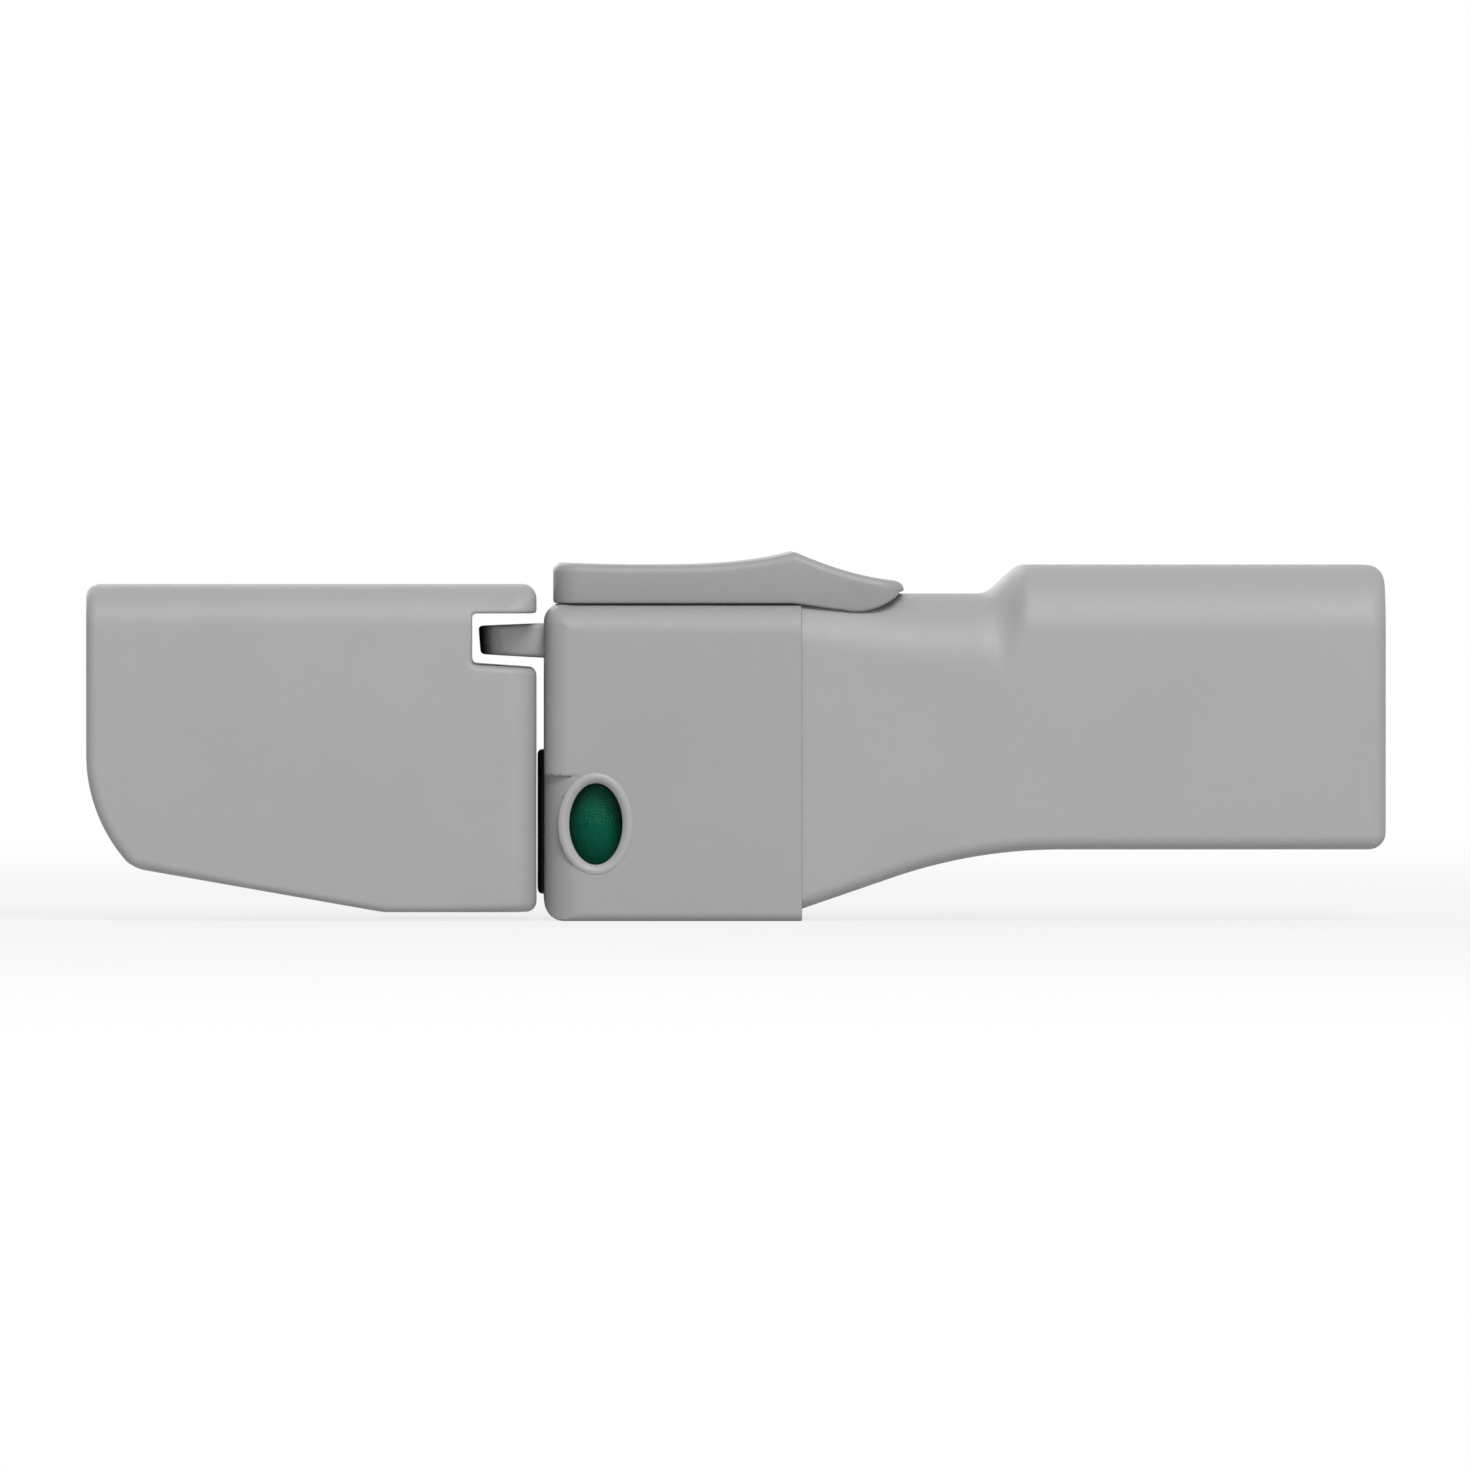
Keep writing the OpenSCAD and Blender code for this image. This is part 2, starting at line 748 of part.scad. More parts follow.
module slider_outline() {
    steps = 32;
    a = slider_x0 + 1.2;
    b = slider_x1;
    knee = slider_x1 - 3;
    polygon(concat(
        [[slider_x0, slider_low], [head_x1 + 0.3, slider_low], [knee, skirt_low]],
        [for (i = [1:8]) [knee + 3 * sin(i * 10), skirt_low + 2.6 * (1 - cos(i * 10))]],
        [[b, skirt_low + 2.6], [b, tail_z - 0.3]],
        [for (i = [steps:-1:0]) let (x = a + (b - 0.5 - a) * i / steps) [x, back_line(x)]],
        [[slider_x0 + 0.6, dish_z - 0.3]]));
}

module thumb_slider() {
    y = slider_d / 2;
    color([0.6, 0.6, 0.6])
    difference() {
        intersection() {
            front_prism(-y, y) slider_outline();
            plan_prism(0, far) soft_rect(slider_x0, slider_x1, -y, y, [3, 2, 2, 3]);
        }
        // room for the handle, which passes under the tail
        box(tunnel_x, slider_x1 + 1, -y + skirt_t, y - skirt_t, 0, runway_z + slip);
        // holes for the screws that come up through the tongue
        for (i = [0, 1]) {
            translate([slider_screw_x[i], 0, slider_low - 1]) cylinder(h = 4.2, r = 1.2);
        }
    }
}

module tongue() {
    w = tongue_w / 2;
    color(plastic_mid)
    difference() {
        union() {
            intersection() {
                front_prism(-w, w)
                    polygon([[tongue_x0, tongue_low + 0.35], [head_x0 + 1, tongue_low],
                        [tongue_x1, tongue_low], [tongue_x1, tongue_top],
                        [head_x0 + 1, tongue_top], [tongue_x0, tongue_top - 0.3]]);
                plan_prism(tongue_low, tongue_top)
                    soft_rect(tongue_x0, tongue_x1, -w, w, [w - 1, 0, 0, w - 1]);
            }
            box(post_x0, post_x0 + post_l, -post_w / 2, post_w / 2, tongue_top - 1, slider_low);
        }
        // pocket of the spring's rod
        x_rod(0, tongue_z, rod_d / 2 + 0.1, tongue_x1 - travel - 3, tongue_x1 + 1);
        for (i = [0, 1]) {
            translate([slider_screw_x[i], 0, tongue_low - 1]) {
                cylinder(h = 3.2, r = 2.4);
                cylinder(h = far, r = 1.4);
            }
        }
    }
}

module slider_screws() {
    color(steel)
    for (i = [0, 1]) {
        translate([slider_screw_x[i], 0, tongue_low + 2.2])
            rotate([180, 0, 0])
            screw(1.2, 2.3, 1.8, slider_low + 3 - tongue_low - 2.2);
    }
}

// ---- Indicator and feeler ----

module indicator_bezel() {
    color([0.7, 0.7, 0.7])
    front_prism(-head_d / 2 - 0.4, -head_in_y)
        translate([head_x0 + window_x, window_z])
        difference() {
            oval(window_w / 2 + bezel_w, window_h / 2 + bezel_w);
            oval(window_w / 2, window_h / 2);
        }
}

module indicator_lens() {
    color([0.85, 0.9, 0.88])
    front_prism(-head_d / 2 + 0.3, -head_in_y - 0.4)
        translate([head_x0 + window_x, window_z])
        oval(window_w / 2, window_h / 2);
}

// One tooth of the fine gears, pointing along +Y from its root
module tooth(root, tip) {
    polygon([[-0.42, root], [-0.18, tip], [0.18, tip], [0.42, root]]);
}

module indicator_drum() {
    color([0.9, 0.9, 0.88])
    translate([drum_x, drum_y, 0])
    difference() {
        union() {
            translate([0, 0, drum_z0]) cylinder(h = drum_z1 - drum_z0, r = drum_core_r);
            translate([0, 0, drum_z0]) cylinder(h = 0.8, r = drum_r);
            translate([0, 0, drum_z1 - 0.8]) cylinder(h = 0.8, r = drum_r);
            translate([0, 0, drum_z1 - eps])
                cylinder(h = gear_z1 - drum_z1 + eps, r = pinion_r - 1.25 * module_g);
            for (i = [0:pinion_teeth - 1]) {
                rotate(i * 360 / pinion_teeth)
                plan_prism(gear_z0, gear_z1) tooth(pinion_r - 1.4 * module_g, pinion_r + 0.8 * module_g);
            }
        }
        translate([0, 0, drum_z0 - 1]) cylinder(h = far, r = drum_pin_r + 0.05);
    }
}

// A sleeve on the drum that covers the angles from a0 to a0 + turn
module drum_sleeve(a0) {
    translate([drum_x, drum_y, 0])
    intersection() {
        difference() {
            translate([0, 0, drum_z0 + 0.8]) cylinder(h = drum_z1 - drum_z0 - 1.6, r = drum_r);
            translate([0, 0, drum_z0]) cylinder(h = drum_z1 - drum_z0, r = drum_core_r);
        }
        plan_prism(drum_z0, drum_z1)
            polygon(concat([[0, 0]], [for (i = [0:4]) let (a = a0 + turn * i / 4) far * [cos(a), sin(a)]]));
    }
}

module indicator_green() {
    color([0.02, 0.32, 0.22])
    drum_sleeve(-90 - turn / 2);
}

module indicator_red() {
    color([0.75, 0.08, 0.06])
    drum_sleeve(-90 - turn * 3 / 2);
}

module gap_feeler() {
    color([0.06, 0.06, 0.06])
    difference() {
        union() {
            box(feeler_x0, feeler_x1, feeler_y0, feeler_y1, feeler_low, feeler_top);
            box(feeler_x1, feeler_x1 + feeler_stop, feeler_y0, feeler_y1 + 1.2, feeler_low, feeler_top);
            // rack behind the pinion
            box(rack_x0, rack_x1, rack_y + 1.25 * module_g, feeler_y0 + 1, gear_z0 + 0.1, gear_z1);
            for (i = [-1:4]) {
                translate([drum_x + (i + 0.5) * PI * module_g, rack_y, 0])
                mirror([0, 1, 0])
                plan_prism(gear_z0 + 0.1, gear_z1) tooth(-1.4 * module_g, 0.8 * module_g);
            }
        }
        // pocket of the spring
        x_rod(feeler_spring_y, window_z, feeler_spring_r + 0.2, feeler_x1 + feeler_stop - 7,
            feeler_x1 + feeler_stop + 1);
    }
}

catch_front();
catch_rear();
catch_screws();
head_front();
head_rear();
handle_front();
handle_rear();
lock_chassis();
head_screws();
handle_screws();
indicator_bezel();
indicator_lens();
drum_pin();
spring_rod();
tongue_spring();
feeler_spring();
thumb_slider();
tongue();
slider_screws();
gap_feeler();
indicator_drum();
indicator_green();
indicator_red();
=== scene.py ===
# %% [markdown]
# # The latch of a stair gate
#
# A stair gate latch is a small box of moulded grey plastic. A catch housing sits on the corner of the
# gate's frame, and a lock head with a handle sits on the corner of the door. A slider on top draws a
# tongue out of a notch in the catch (its black nose is painted shade), and a little oval window shows green while
# the gate is shut.
#
# The imported model is loaded first. It is the fixed frame: every piece below takes its place and size from it.

# %% Load the frame
import math

import bpy
import numpy as np
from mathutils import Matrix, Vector


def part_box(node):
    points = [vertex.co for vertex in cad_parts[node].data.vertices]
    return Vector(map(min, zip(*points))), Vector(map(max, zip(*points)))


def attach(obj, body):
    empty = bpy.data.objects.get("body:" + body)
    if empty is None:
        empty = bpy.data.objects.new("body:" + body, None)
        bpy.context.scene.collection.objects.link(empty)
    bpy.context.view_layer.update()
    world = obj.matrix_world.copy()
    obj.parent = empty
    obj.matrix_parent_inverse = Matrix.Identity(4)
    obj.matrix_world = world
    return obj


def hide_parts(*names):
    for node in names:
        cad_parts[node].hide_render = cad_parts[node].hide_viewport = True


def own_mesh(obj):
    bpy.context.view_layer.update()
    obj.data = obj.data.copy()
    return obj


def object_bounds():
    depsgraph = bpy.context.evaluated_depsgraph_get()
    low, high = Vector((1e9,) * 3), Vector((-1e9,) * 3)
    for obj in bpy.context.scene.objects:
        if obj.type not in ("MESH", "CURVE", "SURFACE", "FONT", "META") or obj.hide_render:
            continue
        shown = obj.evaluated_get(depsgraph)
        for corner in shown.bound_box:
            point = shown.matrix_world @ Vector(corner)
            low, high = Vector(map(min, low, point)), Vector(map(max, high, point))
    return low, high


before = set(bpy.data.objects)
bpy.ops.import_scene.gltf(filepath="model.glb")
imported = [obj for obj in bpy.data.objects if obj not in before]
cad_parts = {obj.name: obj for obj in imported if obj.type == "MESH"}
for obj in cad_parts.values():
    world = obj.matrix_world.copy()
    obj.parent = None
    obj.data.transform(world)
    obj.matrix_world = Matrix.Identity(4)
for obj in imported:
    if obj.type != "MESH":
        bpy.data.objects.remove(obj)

cad_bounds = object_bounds()

# %% [markdown]
# ## Measuring
#
# A plastic part is drawn in millimetres, and Blender works in metres. So the shapes below are worked out in
# millimetres, and one helper turns each finished mesh into metres. `span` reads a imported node's box. Walls,
# radii and clearances, which a box can't tell, are named where they are first needed.

# %% Read sizes from the frame
MM = 0.001


def span(node):
    """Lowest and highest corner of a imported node, in millimetres."""
    low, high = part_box(node)
    return np.array(low) / MM, np.array(high) / MM


catch_low, catch_high = span("catch_front")
head_low, head_high = span("head_front")
handle_low, handle_high = span("handle_front")
slider_low, slider_high = span("thumb_slider")
tongue_low, tongue_high = span("tongue")
lens_low, lens_high = span("indicator_lens")
bezel_low, bezel_high = span("indicator_bezel")
feeler_low, feeler_high = span("gap_feeler")

catch_half = -catch_low[1]
head_half = -head_low[1]
handle_half = -handle_low[1]
slider_half = slider_high[1]
head_x0, head_x1, handle_x1 = head_low[0], head_high[0], handle_high[0]
window_x, window_z = (lens_low + lens_high)[[0, 2]] / 2
print("catch", catch_low, catch_high)
print("lock head from", head_x0, "to", head_x1, "and handle to", handle_x1)

# %% [markdown]
# ## Moulded shells as fields
#
# A moulded housing is flat faces, cut-outs and bosses, and every edge of it is a little round, because a
# mould is. It could be modelled as a grid of two parameters, but each notch, socket and screw hole would
# break that grid. It could be cut with booleans and bevelled, but a bevel fails where small edges meet.
#
# So each housing is worked out as a *field*: a number for every point in space, negative inside the plastic
# and positive outside, which grows about as fast as the distance does. Two fields join with a rounded edge
# in one line, and the surface is wherever the number is zero.

# %% Join fields with rounded edges


def both(a, b, r):
    """What lies inside a and inside b, with their edge rounded to radius r.

    Where both fields are nearer than r to zero, the result is the length of (a + r, b + r) less r, which is a
    circle's distance. Elsewhere it is the larger of the two."""
    u = np.maximum(a + r, 0)
    v = np.maximum(b + r, 0)
    return np.minimum(np.maximum(a, b), -r) + np.hypot(u, v)


def less(a, b, r):
    """What lies inside a and outside b, with the cut's edge rounded to radius r."""
    return both(a, -b, r)


def either(a, b, r):
    """What lies inside a or b, with a fillet of radius r where they meet."""
    return -both(-a, -b, r)


def between(t, low, high):
    """Distance along t outside the stretch from low to high, negative within it."""
    return np.maximum(low - t, t - high)


def block(p, low, high, r):
    """A box from corner low to corner high, its edges rounded to radius r."""
    sides = [between(t, a, b) for t, a, b in zip(p, low, high)]
    return both(both(sides[0], sides[1], r), sides[2], r)


def rod_y(p, x, z, radius, low, high, r=0.2):
    """A round rod along Y at (x, z), from y = low to y = high."""
    x0, y0, z0 = p
    return both(np.hypot(x0 - x, z0 - z) - radius, between(y0, low, high), r)


def pillow(a, b, a_size, b_size):
    """Distance-like field of an oval: how far (a / a_size, b / b_size) lies outside the unit circle."""
    return (np.hypot(a / a_size, b / b_size) - 1) * min(a_size, b_size)


def weigh(distances, values, near=0.8):
    """The values averaged, each weighted by 1 / (its distance + near)^4, so that the nearest one counts most."""
    weights = [1 / (np.maximum(d, 0) + near) ** 4 for d in distances]
    return sum(w * v for w, v in zip(weights, values)) / sum(weights)


sharp = both(np.array(0.0), np.array(0.0), 2.0)
print("a sharp corner lies", sharp.round(2), "mm outside the same corner rounded to 2 mm")

# %% [markdown]
# ## From a field to a mesh
#
# A surface net turns the field into quads. Space is cut into small cubes, each cube that the surface
# passes through gets one vertex, and each grid edge that crosses the surface gets one face. The vertices then
# slide onto the surface, and the slope of the field gives each its exact normal, so that flat faces stay flat
# and rounded edges shade smoothly.

# %% The surface net
NEWTON_STEPS = 5
LEAST_SLOPE = 0.2


def slope_of(field, points, h=0.02):
    """Value and gradient of the field at the points, from central differences of width 2h along each axis."""
    p = points.T
    slope = [field(p + step) - field(p - step) for step in h * np.eye(3)[:, :, None]]
    return field(p), np.stack(slope, axis=1) / (2 * h)


def net(field, low, high, step):
    """Vertices, quads and normals of the surface where the field is zero.

    A vertex starts in the middle of its cube, and moves a few times by minus the field's value times its
    gradient over the gradient's square, which is Newton's step towards zero."""
    axes = [np.arange(a - 1.5 * step, b + 2 * step, step) for a, b in zip(low, high)]
    p = np.meshgrid(*axes, indexing="ij", sparse=True)
    inside = np.broadcast_to(field(p), [len(a) for a in axes]) < 0
    size = [len(a) - 1 for a in axes]
    count = sum(
        inside[i : i + size[0], j : j + size[1], k : k + size[2]].astype(np.int8)
        for i, j, k in np.ndindex(2, 2, 2)
    )
    mixed = (count > 0) & (count < 8)
    number = np.full(mixed.shape, -1)
    number[mixed] = np.arange(mixed.sum())
    where = np.argwhere(mixed)
    points = np.stack([axes[a][where[:, a]] + step / 2 for a in range(3)], axis=1)
    for _ in range(NEWTON_STEPS):
        value, slope = slope_of(field, points)
        move = slope * (value / np.maximum((slope**2).sum(1), LEAST_SLOPE))[:, None]
        points -= np.clip(move, -step, step)
    _, slope = slope_of(field, points)
    normals = slope / np.maximum(np.linalg.norm(slope, axis=1), 1e-6)[:, None]
    rings = []
    for a in range(3):
        order = (a, (a + 1) % 3, (a + 2) % 3)
        solid = np.transpose(inside, order)
        cell = np.transpose(number, order)
        i, j, k = np.nonzero(solid[:-1, 1:-1, 1:-1] != solid[1:, 1:-1, 1:-1])
        corners = [cell[i, j, k], cell[i, j + 1, k], cell[i, j + 1, k + 1], cell[i, j, k + 1]]
        ring = np.stack(corners, axis=1)
        backward = ~solid[i, j + 1, k + 1]
        ring[backward] = ring[backward, ::-1]
        rings.append(ring)
    return points, np.concatenate(rings), normals


ball = net(lambda p: np.hypot(np.hypot(p[0], p[1]), p[2]) - 2, [-2] * 3, [2] * 3, 0.5)
print("a ball of 2 mm gets", len(ball[0]), "vertices and", len(ball[1]), "quads")

# %% [markdown]
# ## From arrays to an object
#
# One helper puts the arrays into a mesh, in metres, gives it its material, hangs it on the empty of the body it
# rides on, and hides the imported nodes it stands for.

# %% Make a piece


def piece(name, points, faces, material, body, slot, stands_for, normals=None):
    """A smooth-shaded object from points in millimetres and faces of equal length."""
    mesh = bpy.data.meshes.new(name)
    mesh.vertices.add(len(points))
    mesh.vertices.foreach_set("co", (np.asarray(points) * MM).ravel())
    mesh.loops.add(faces.size)
    mesh.loops.foreach_set("vertex_index", faces.ravel())
    mesh.polygons.add(len(faces))
    mesh.polygons.foreach_set("loop_start", np.arange(len(faces)) * faces.shape[1])
    mesh.update(calc_edges=True)
    mesh.validate()
    mesh.shade_smooth()
    if normals is not None:
        mesh.normals_split_custom_set_from_vertices(normals.tolist())
    mesh.materials.append(material)
    thing = bpy.data.objects.new(name, mesh)
    bpy.context.scene.collection.objects.link(thing)
    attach(thing, body)
    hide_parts(*stands_for)
    print(f"{name}: {len(points)} vertices, {len(faces)} faces")
    return thing


def moulding(name, field, node, step, material, body, slot, box=None):
    """A moulded piece from its field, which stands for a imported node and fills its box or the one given."""
    points, faces, normals = net(field, *(box or span(node)), step)
    return piece(name, points, faces, material, body, slot, [node], normals)


# %% [markdown]
# ## Finishes
#
# The housings are one grey plastic, moulded in a spark-eroded steel mould, which leaves a fine even grain.
# Such a surface isn't one flat colour: the grain scatters the light, the tone drifts a little over the
# part, and it is polished a little here and there. They could be painted on a picture, but noise in the
# object's own coordinates needs no picture and has no seams.

# %% Helpers for node materials


def feed(tree, node, inputs):
    """Gives each named input of a node its value, or the socket that feeds it."""
    for name, value in inputs.items():
        if isinstance(value, bpy.types.NodeSocket):
            tree.links.new(value, node.inputs[name])
        else:
            node.inputs[name].default_value = value
    return node


def add(tree, kind, inputs, **settings):
    """A new node with its settings and its inputs."""
    node = tree.nodes.new("ShaderNode" + kind)
    for name, value in settings.items():
        setattr(node, name, value)
    return feed(tree, node, inputs)


def begin(name):
    """A new material with its nodes, its Principled shader and the object's own coordinates."""
    material = bpy.data.materials.new(name)
    material.use_nodes = True
    tree = material.node_tree
    return material, tree, tree.nodes["Principled BSDF"], add(tree, "TexCoord", {}).outputs["Object"]


def noise(tree, place, size, detail=3.0):
    """Noise whose blotches are about size millimetres across."""
    return add(tree, "TexNoise", {"Vector": place, "Scale": 1 / (size * MM), "Detail": detail}).outputs["Fac"]


def remap(tree, value, low, high):
    """The value, from 0.3 to 0.7, stretched to run from low to high."""
    limits = {"From Min": 0.3, "From Max": 0.7, "To Min": low, "To Max": high}
    return add(tree, "MapRange", {"Value": value, **limits}).outputs["Result"]


def blend(tree, share, first, second):
    """A colour that goes from first to second as share goes from 0 to 1."""
    inputs = {"Factor": share, "A": (*first, 1), "B": (*second, 1)}
    return add(tree, "Mix", inputs, data_type="RGBA").outputs["Result"]


def bump(tree, height, depth, below=None):
    """A bump whose full height is depth millimetres, laid over another bump if there is one."""
    inputs = {"Height": height, "Strength": 1.0, "Distance": depth * MM}
    if below is not None:
        inputs["Normal"] = below
    return add(tree, "Bump", inputs).outputs["Normal"]


def tint(colour, factor):
    """The colour, lighter or darker by a factor."""
    return tuple(min(1.0, c * factor) for c in colour)


def grey(level):
    """A grey whose three channels are alike."""
    return (level, level, level)


print("a mid grey 5 percent darker is", tint(grey(0.5), 0.95))

# %% Moulded plastic
DRIFT, DRIFT_SIZE = 0.015, 14.0
POLISH, POLISH_SIZE = 0.04, 1.2
WAVE_DEPTH, WAVE_SIZE = 0.03, 9.0
GRAIN_SIZE = 0.25


def moulded_plastic(name, colour, roughness, grain=0.012, gloss=0.35):
    """Satin plastic: a tone that drifts by DRIFT either way over 14 mm, a grain of 0.25 mm on shallow waves 9 mm
    long, and a roughness that changes by POLISH either way over 1.2 mm."""
    material, tree, shader, place = begin(name)
    broad = remap(tree, noise(tree, place, DRIFT_SIZE), 0, 1)
    fine = noise(tree, place, GRAIN_SIZE, 2.0)
    waves = bump(tree, noise(tree, place, WAVE_SIZE), WAVE_DEPTH)
    feed(tree, shader, {
        "Base Color": blend(tree, broad, tint(colour, 1 - DRIFT), tint(colour, 1 + DRIFT)),
        "Roughness": remap(tree, noise(tree, place, POLISH_SIZE), roughness - POLISH, roughness + POLISH),
        "Normal": bump(tree, fine, grain, waves),
        "IOR": 1.5,
        "Specular IOR Level": gloss,
    })
    return material


shell_grey = moulded_plastic("shell_grey", grey(0.385), 0.50)
head_grey = moulded_plastic("head_grey", grey(0.36), 0.50)
slider_grey = moulded_plastic("slider_grey", grey(0.345), 0.44)
bezel_grey = moulded_plastic("bezel_grey", grey(0.405), 0.36, grain=0.004)
# The feeler's near-black is partly its own dark plastic and partly painted shade, the deep shade of the narrow gap
# it fills.
feeler_painted_shade_black = moulded_plastic("feeler_painted_shade_black", grey(0.012), 0.45, grain=0.008)
chassis_dark = moulded_plastic("chassis_dark", (0.035, 0.037, 0.04), 0.5)
drum_white = moulded_plastic("drum_white", (0.72, 0.72, 0.70), 0.4)
band_green = moulded_plastic("band_green", (0.0008, 0.10, 0.055), 0.5, grain=0.002, gloss=0.03)
band_red = moulded_plastic("band_red", (0.50, 0.010, 0.008), 0.5, grain=0.002, gloss=0.03)
print("materials, with those of the packed model:", len(bpy.data.materials))

# %% [markdown]
# ## Steel, clear plastic and the tongue's painted light and shade
#
# Screws, springs and pins are zinc-plated steel: bright, with a faint cloudiness from the plating bath. The
# window's lens is clear acrylic. It is thin, so it needs no bending of light, only its gloss over what lies
# behind it. Its alpha lets the light through in both directions, which a full glass shader would block.
#
# The tongue is a harder plastic than the head. Its grey is paler than the head's, painted light that makes up for
# the shade of the catch's lip over it. Its nose is black, painted shade where the nose turns away from the light
# into the notch. The painted shade fades out along the tongue, so its share is read from the piece's own x.

# %% Steel, lens and tongue
RUFFLE = 0.8


def plated_steel(name):
    """Metal whose tone drifts by blotches of 0.8 mm and its roughness by ones of 0.5 mm, with a fine bump."""
    material, tree, shader, place = begin(name)
    cloud = remap(tree, noise(tree, place, 0.8), 0, 1)
    feed(tree, shader, {
        "Base Color": blend(tree, cloud, (0.58, 0.59, 0.60), (0.70, 0.71, 0.72)),
        "Roughness": remap(tree, noise(tree, place, 0.5), 0.24, 0.36),
        "Normal": bump(tree, noise(tree, place, 0.12), 0.003),
        "Metallic": 1.0,
    })
    return material


def clear_acrylic(name):
    """A glossy skin that lets nearly everything through, with faint waves from the mould."""
    material, tree, shader, place = begin(name)
    cloud = remap(tree, noise(tree, place, 2.0), 0, 1)
    feed(tree, shader, {
        "Base Color": blend(tree, cloud, (0.010, 0.030, 0.022), (0.014, 0.036, 0.028)),
        "Roughness": remap(tree, noise(tree, place, 1.0), 0.05, 0.09),
        "Normal": bump(tree, noise(tree, place, 3.0), 0.01),
        "Alpha": 0.08,
        "IOR": 1.49,
    })
    return material


def plastic_with_painted_shade(name, painted_light_tone, painted_shade_tone, start, end):
    """Satin plastic that goes from painted_light_tone, a grey made paler as painted light, to painted_shade_tone, a
    near-black of painted shade, as x goes from start to end, in millimetres, along a smooth step whose edge a 2 mm
    noise ruffles by up to RUFFLE, half of it on average."""
    material, tree, shader, place = begin(name)
    x = add(tree, "SeparateXYZ", {0: place}).outputs["X"]
    ruffle = add(tree, "Math", {0: noise(tree, place, 2.0), 1: RUFFLE * MM, 2: x}, operation="MULTIPLY_ADD")
    limits = {"From Min": (start + RUFFLE / 2) * MM, "From Max": (end + RUFFLE / 2) * MM}
    share = add(tree, "MapRange", {"Value": ruffle.outputs[0], **limits}, interpolation_type="SMOOTHSTEP")
    feed(tree, shader, {
        "Base Color": blend(tree, share.outputs["Result"], painted_light_tone, painted_shade_tone),
        "Roughness": remap(tree, noise(tree, place, 1.0), 0.30, 0.40),
        "Normal": bump(tree, noise(tree, place, 0.25), 0.006),
    })
    return material


# The tongue's pale grey is painted light for the shade under the catch's lip, and the black towards its nose is
# painted shade.
PAINTED_SHADE_X = (head_x0 - 5.5, head_x0 - 7.4)
tongue_painted_light_and_shade = plastic_with_painted_shade("tongue_painted_light_and_shade", (0.68, 0.68, 0.67), grey(0.004), *PAINTED_SHADE_X)
zinc = plated_steel("zinc_plate")
lens_clear = clear_acrylic("lens_clear")
print("materials with steel, lens and tongue:", len(bpy.data.materials))

# %% [markdown]
# ## Two shells and their screws
#
# Each housing is moulded as a front and a rear shell, which screws close from the back. A front shell has
# bosses with pilot holes that the screws cut their thread into. A rear one has bosses with a hole for the
# shank, and a wider one that sinks the head. A hairline is left between the two shells, as on the real ones.
# The bosses could be pieces of their own, but in the field each starts a little inside the wall, at its ROOT,
# and grows out of it with a fillet.

# %% Halves, bosses and screw holes
SEAM = 0.04
SEAM_EDGE = 0.3
BOSS_FILLET = 0.5
ROOT = 0.5
PILOT_RADIUS, PILOT_EDGE = 1.5, 0.2
SHANK_RADIUS, SHANK_EDGE = 1.7, 0.3
HEAD_RADIUS, HEAD_DEPTH = 3.1, 5
FIXING_RADIUS = 2.1
SUNK_EDGE = 0.4
SLIM_BOSS, WIDE_BOSS = 3.1, 4.0
FAR = 30


def front_half(p, body):
    """What lies in front of the parting line."""
    return both(body, p[1] + SEAM, SEAM_EDGE)


def rear_half(p, body):
    """What lies behind the parting line."""
    return both(body, SEAM - p[1], SEAM_EDGE)


def front_bosses(p, body, x, heights, radius, boss, pilot):
    """The body with a boss and a pilot hole at each height, both given as a stretch of y."""
    for z in heights:
        body = either(body, rod_y(p, x, z, radius, *boss), BOSS_FILLET)
        body = less(body, rod_y(p, x, z, PILOT_RADIUS, *pilot), PILOT_EDGE)
    return body


def rear_bosses(p, body, x, heights, radius, boss, half, shank_edge=SHANK_EDGE):
    """The body with a boss at each height, a hole for the screw's shank and a sunk one for its head, in a
    housing whose back lies at y = half."""
    for z in heights:
        body = either(body, rod_y(p, x, z, radius, *boss), BOSS_FILLET)
        body = less(body, rod_y(p, x, z, SHANK_RADIUS, -1, FAR), shank_edge)
        body = less(body, rod_y(p, x, z, HEAD_RADIUS, half - HEAD_DEPTH, FAR), SUNK_EDGE)
    return body


def fixing_holes(p, body, places):
    """The body with a hole in its back at each (x, z), for a screw into the tube."""
    for x, z in places:
        body = less(body, rod_y(p, x, z, FIXING_RADIUS, 1, FAR), SUNK_EDGE)
    return body


def shells(name, front, rear, step, material, body, slot):
    """The front and the rear shell from their fields, each in its half of the housing's box."""
    low, high = span(name + "_front")
    for side, field, y0, y1 in (("front", front, low[1], 0), ("rear", rear, 0, -low[1])):
        box = (low[0], y0, low[2]), (high[0], y1, high[2])
        moulding(f"{name}_shell_{side}", field, f"{name}_{side}", step, material, body, slot, box)


print("the shells are", 2 * SEAM, "mm apart, and a sunk hole is", 2 * HEAD_RADIUS, "mm wide")

# %% [markdown]
# ## The catch housing
#
# The catch caps the corner of the frame's post and top rail. Its outline has a straight top, a large
# curve at the lower left and a slightly sloped underside, and near its upper right a notch runs right
# through it for the tongue. The top edges are the roundest, the ones beside the door less so, and
# the rest are only broken. One field gives the whole housing; front and rear shells are its two halves.

# %% Outline of the catch
SWEEP_RADIUS = -catch_low[0]
SWEEP_Z = -1.2
FOOT = np.array([-13.6, -14.4])
KNEE = np.array([15.9, catch_low[2]])
FOOT_RADIUS = 0.8
CORNER_RADIUS, CORNER_GROWTH = 1.6, 0.8
NOTCH_X = catch_high[0] - 7.5
NOTCH_TOP = catch_high[2] - 3.3
NOTCH_FLOOR = NOTCH_TOP - 5.95
NOTCH_FALL = 0.5
NOTCH_CORNER = 0.5


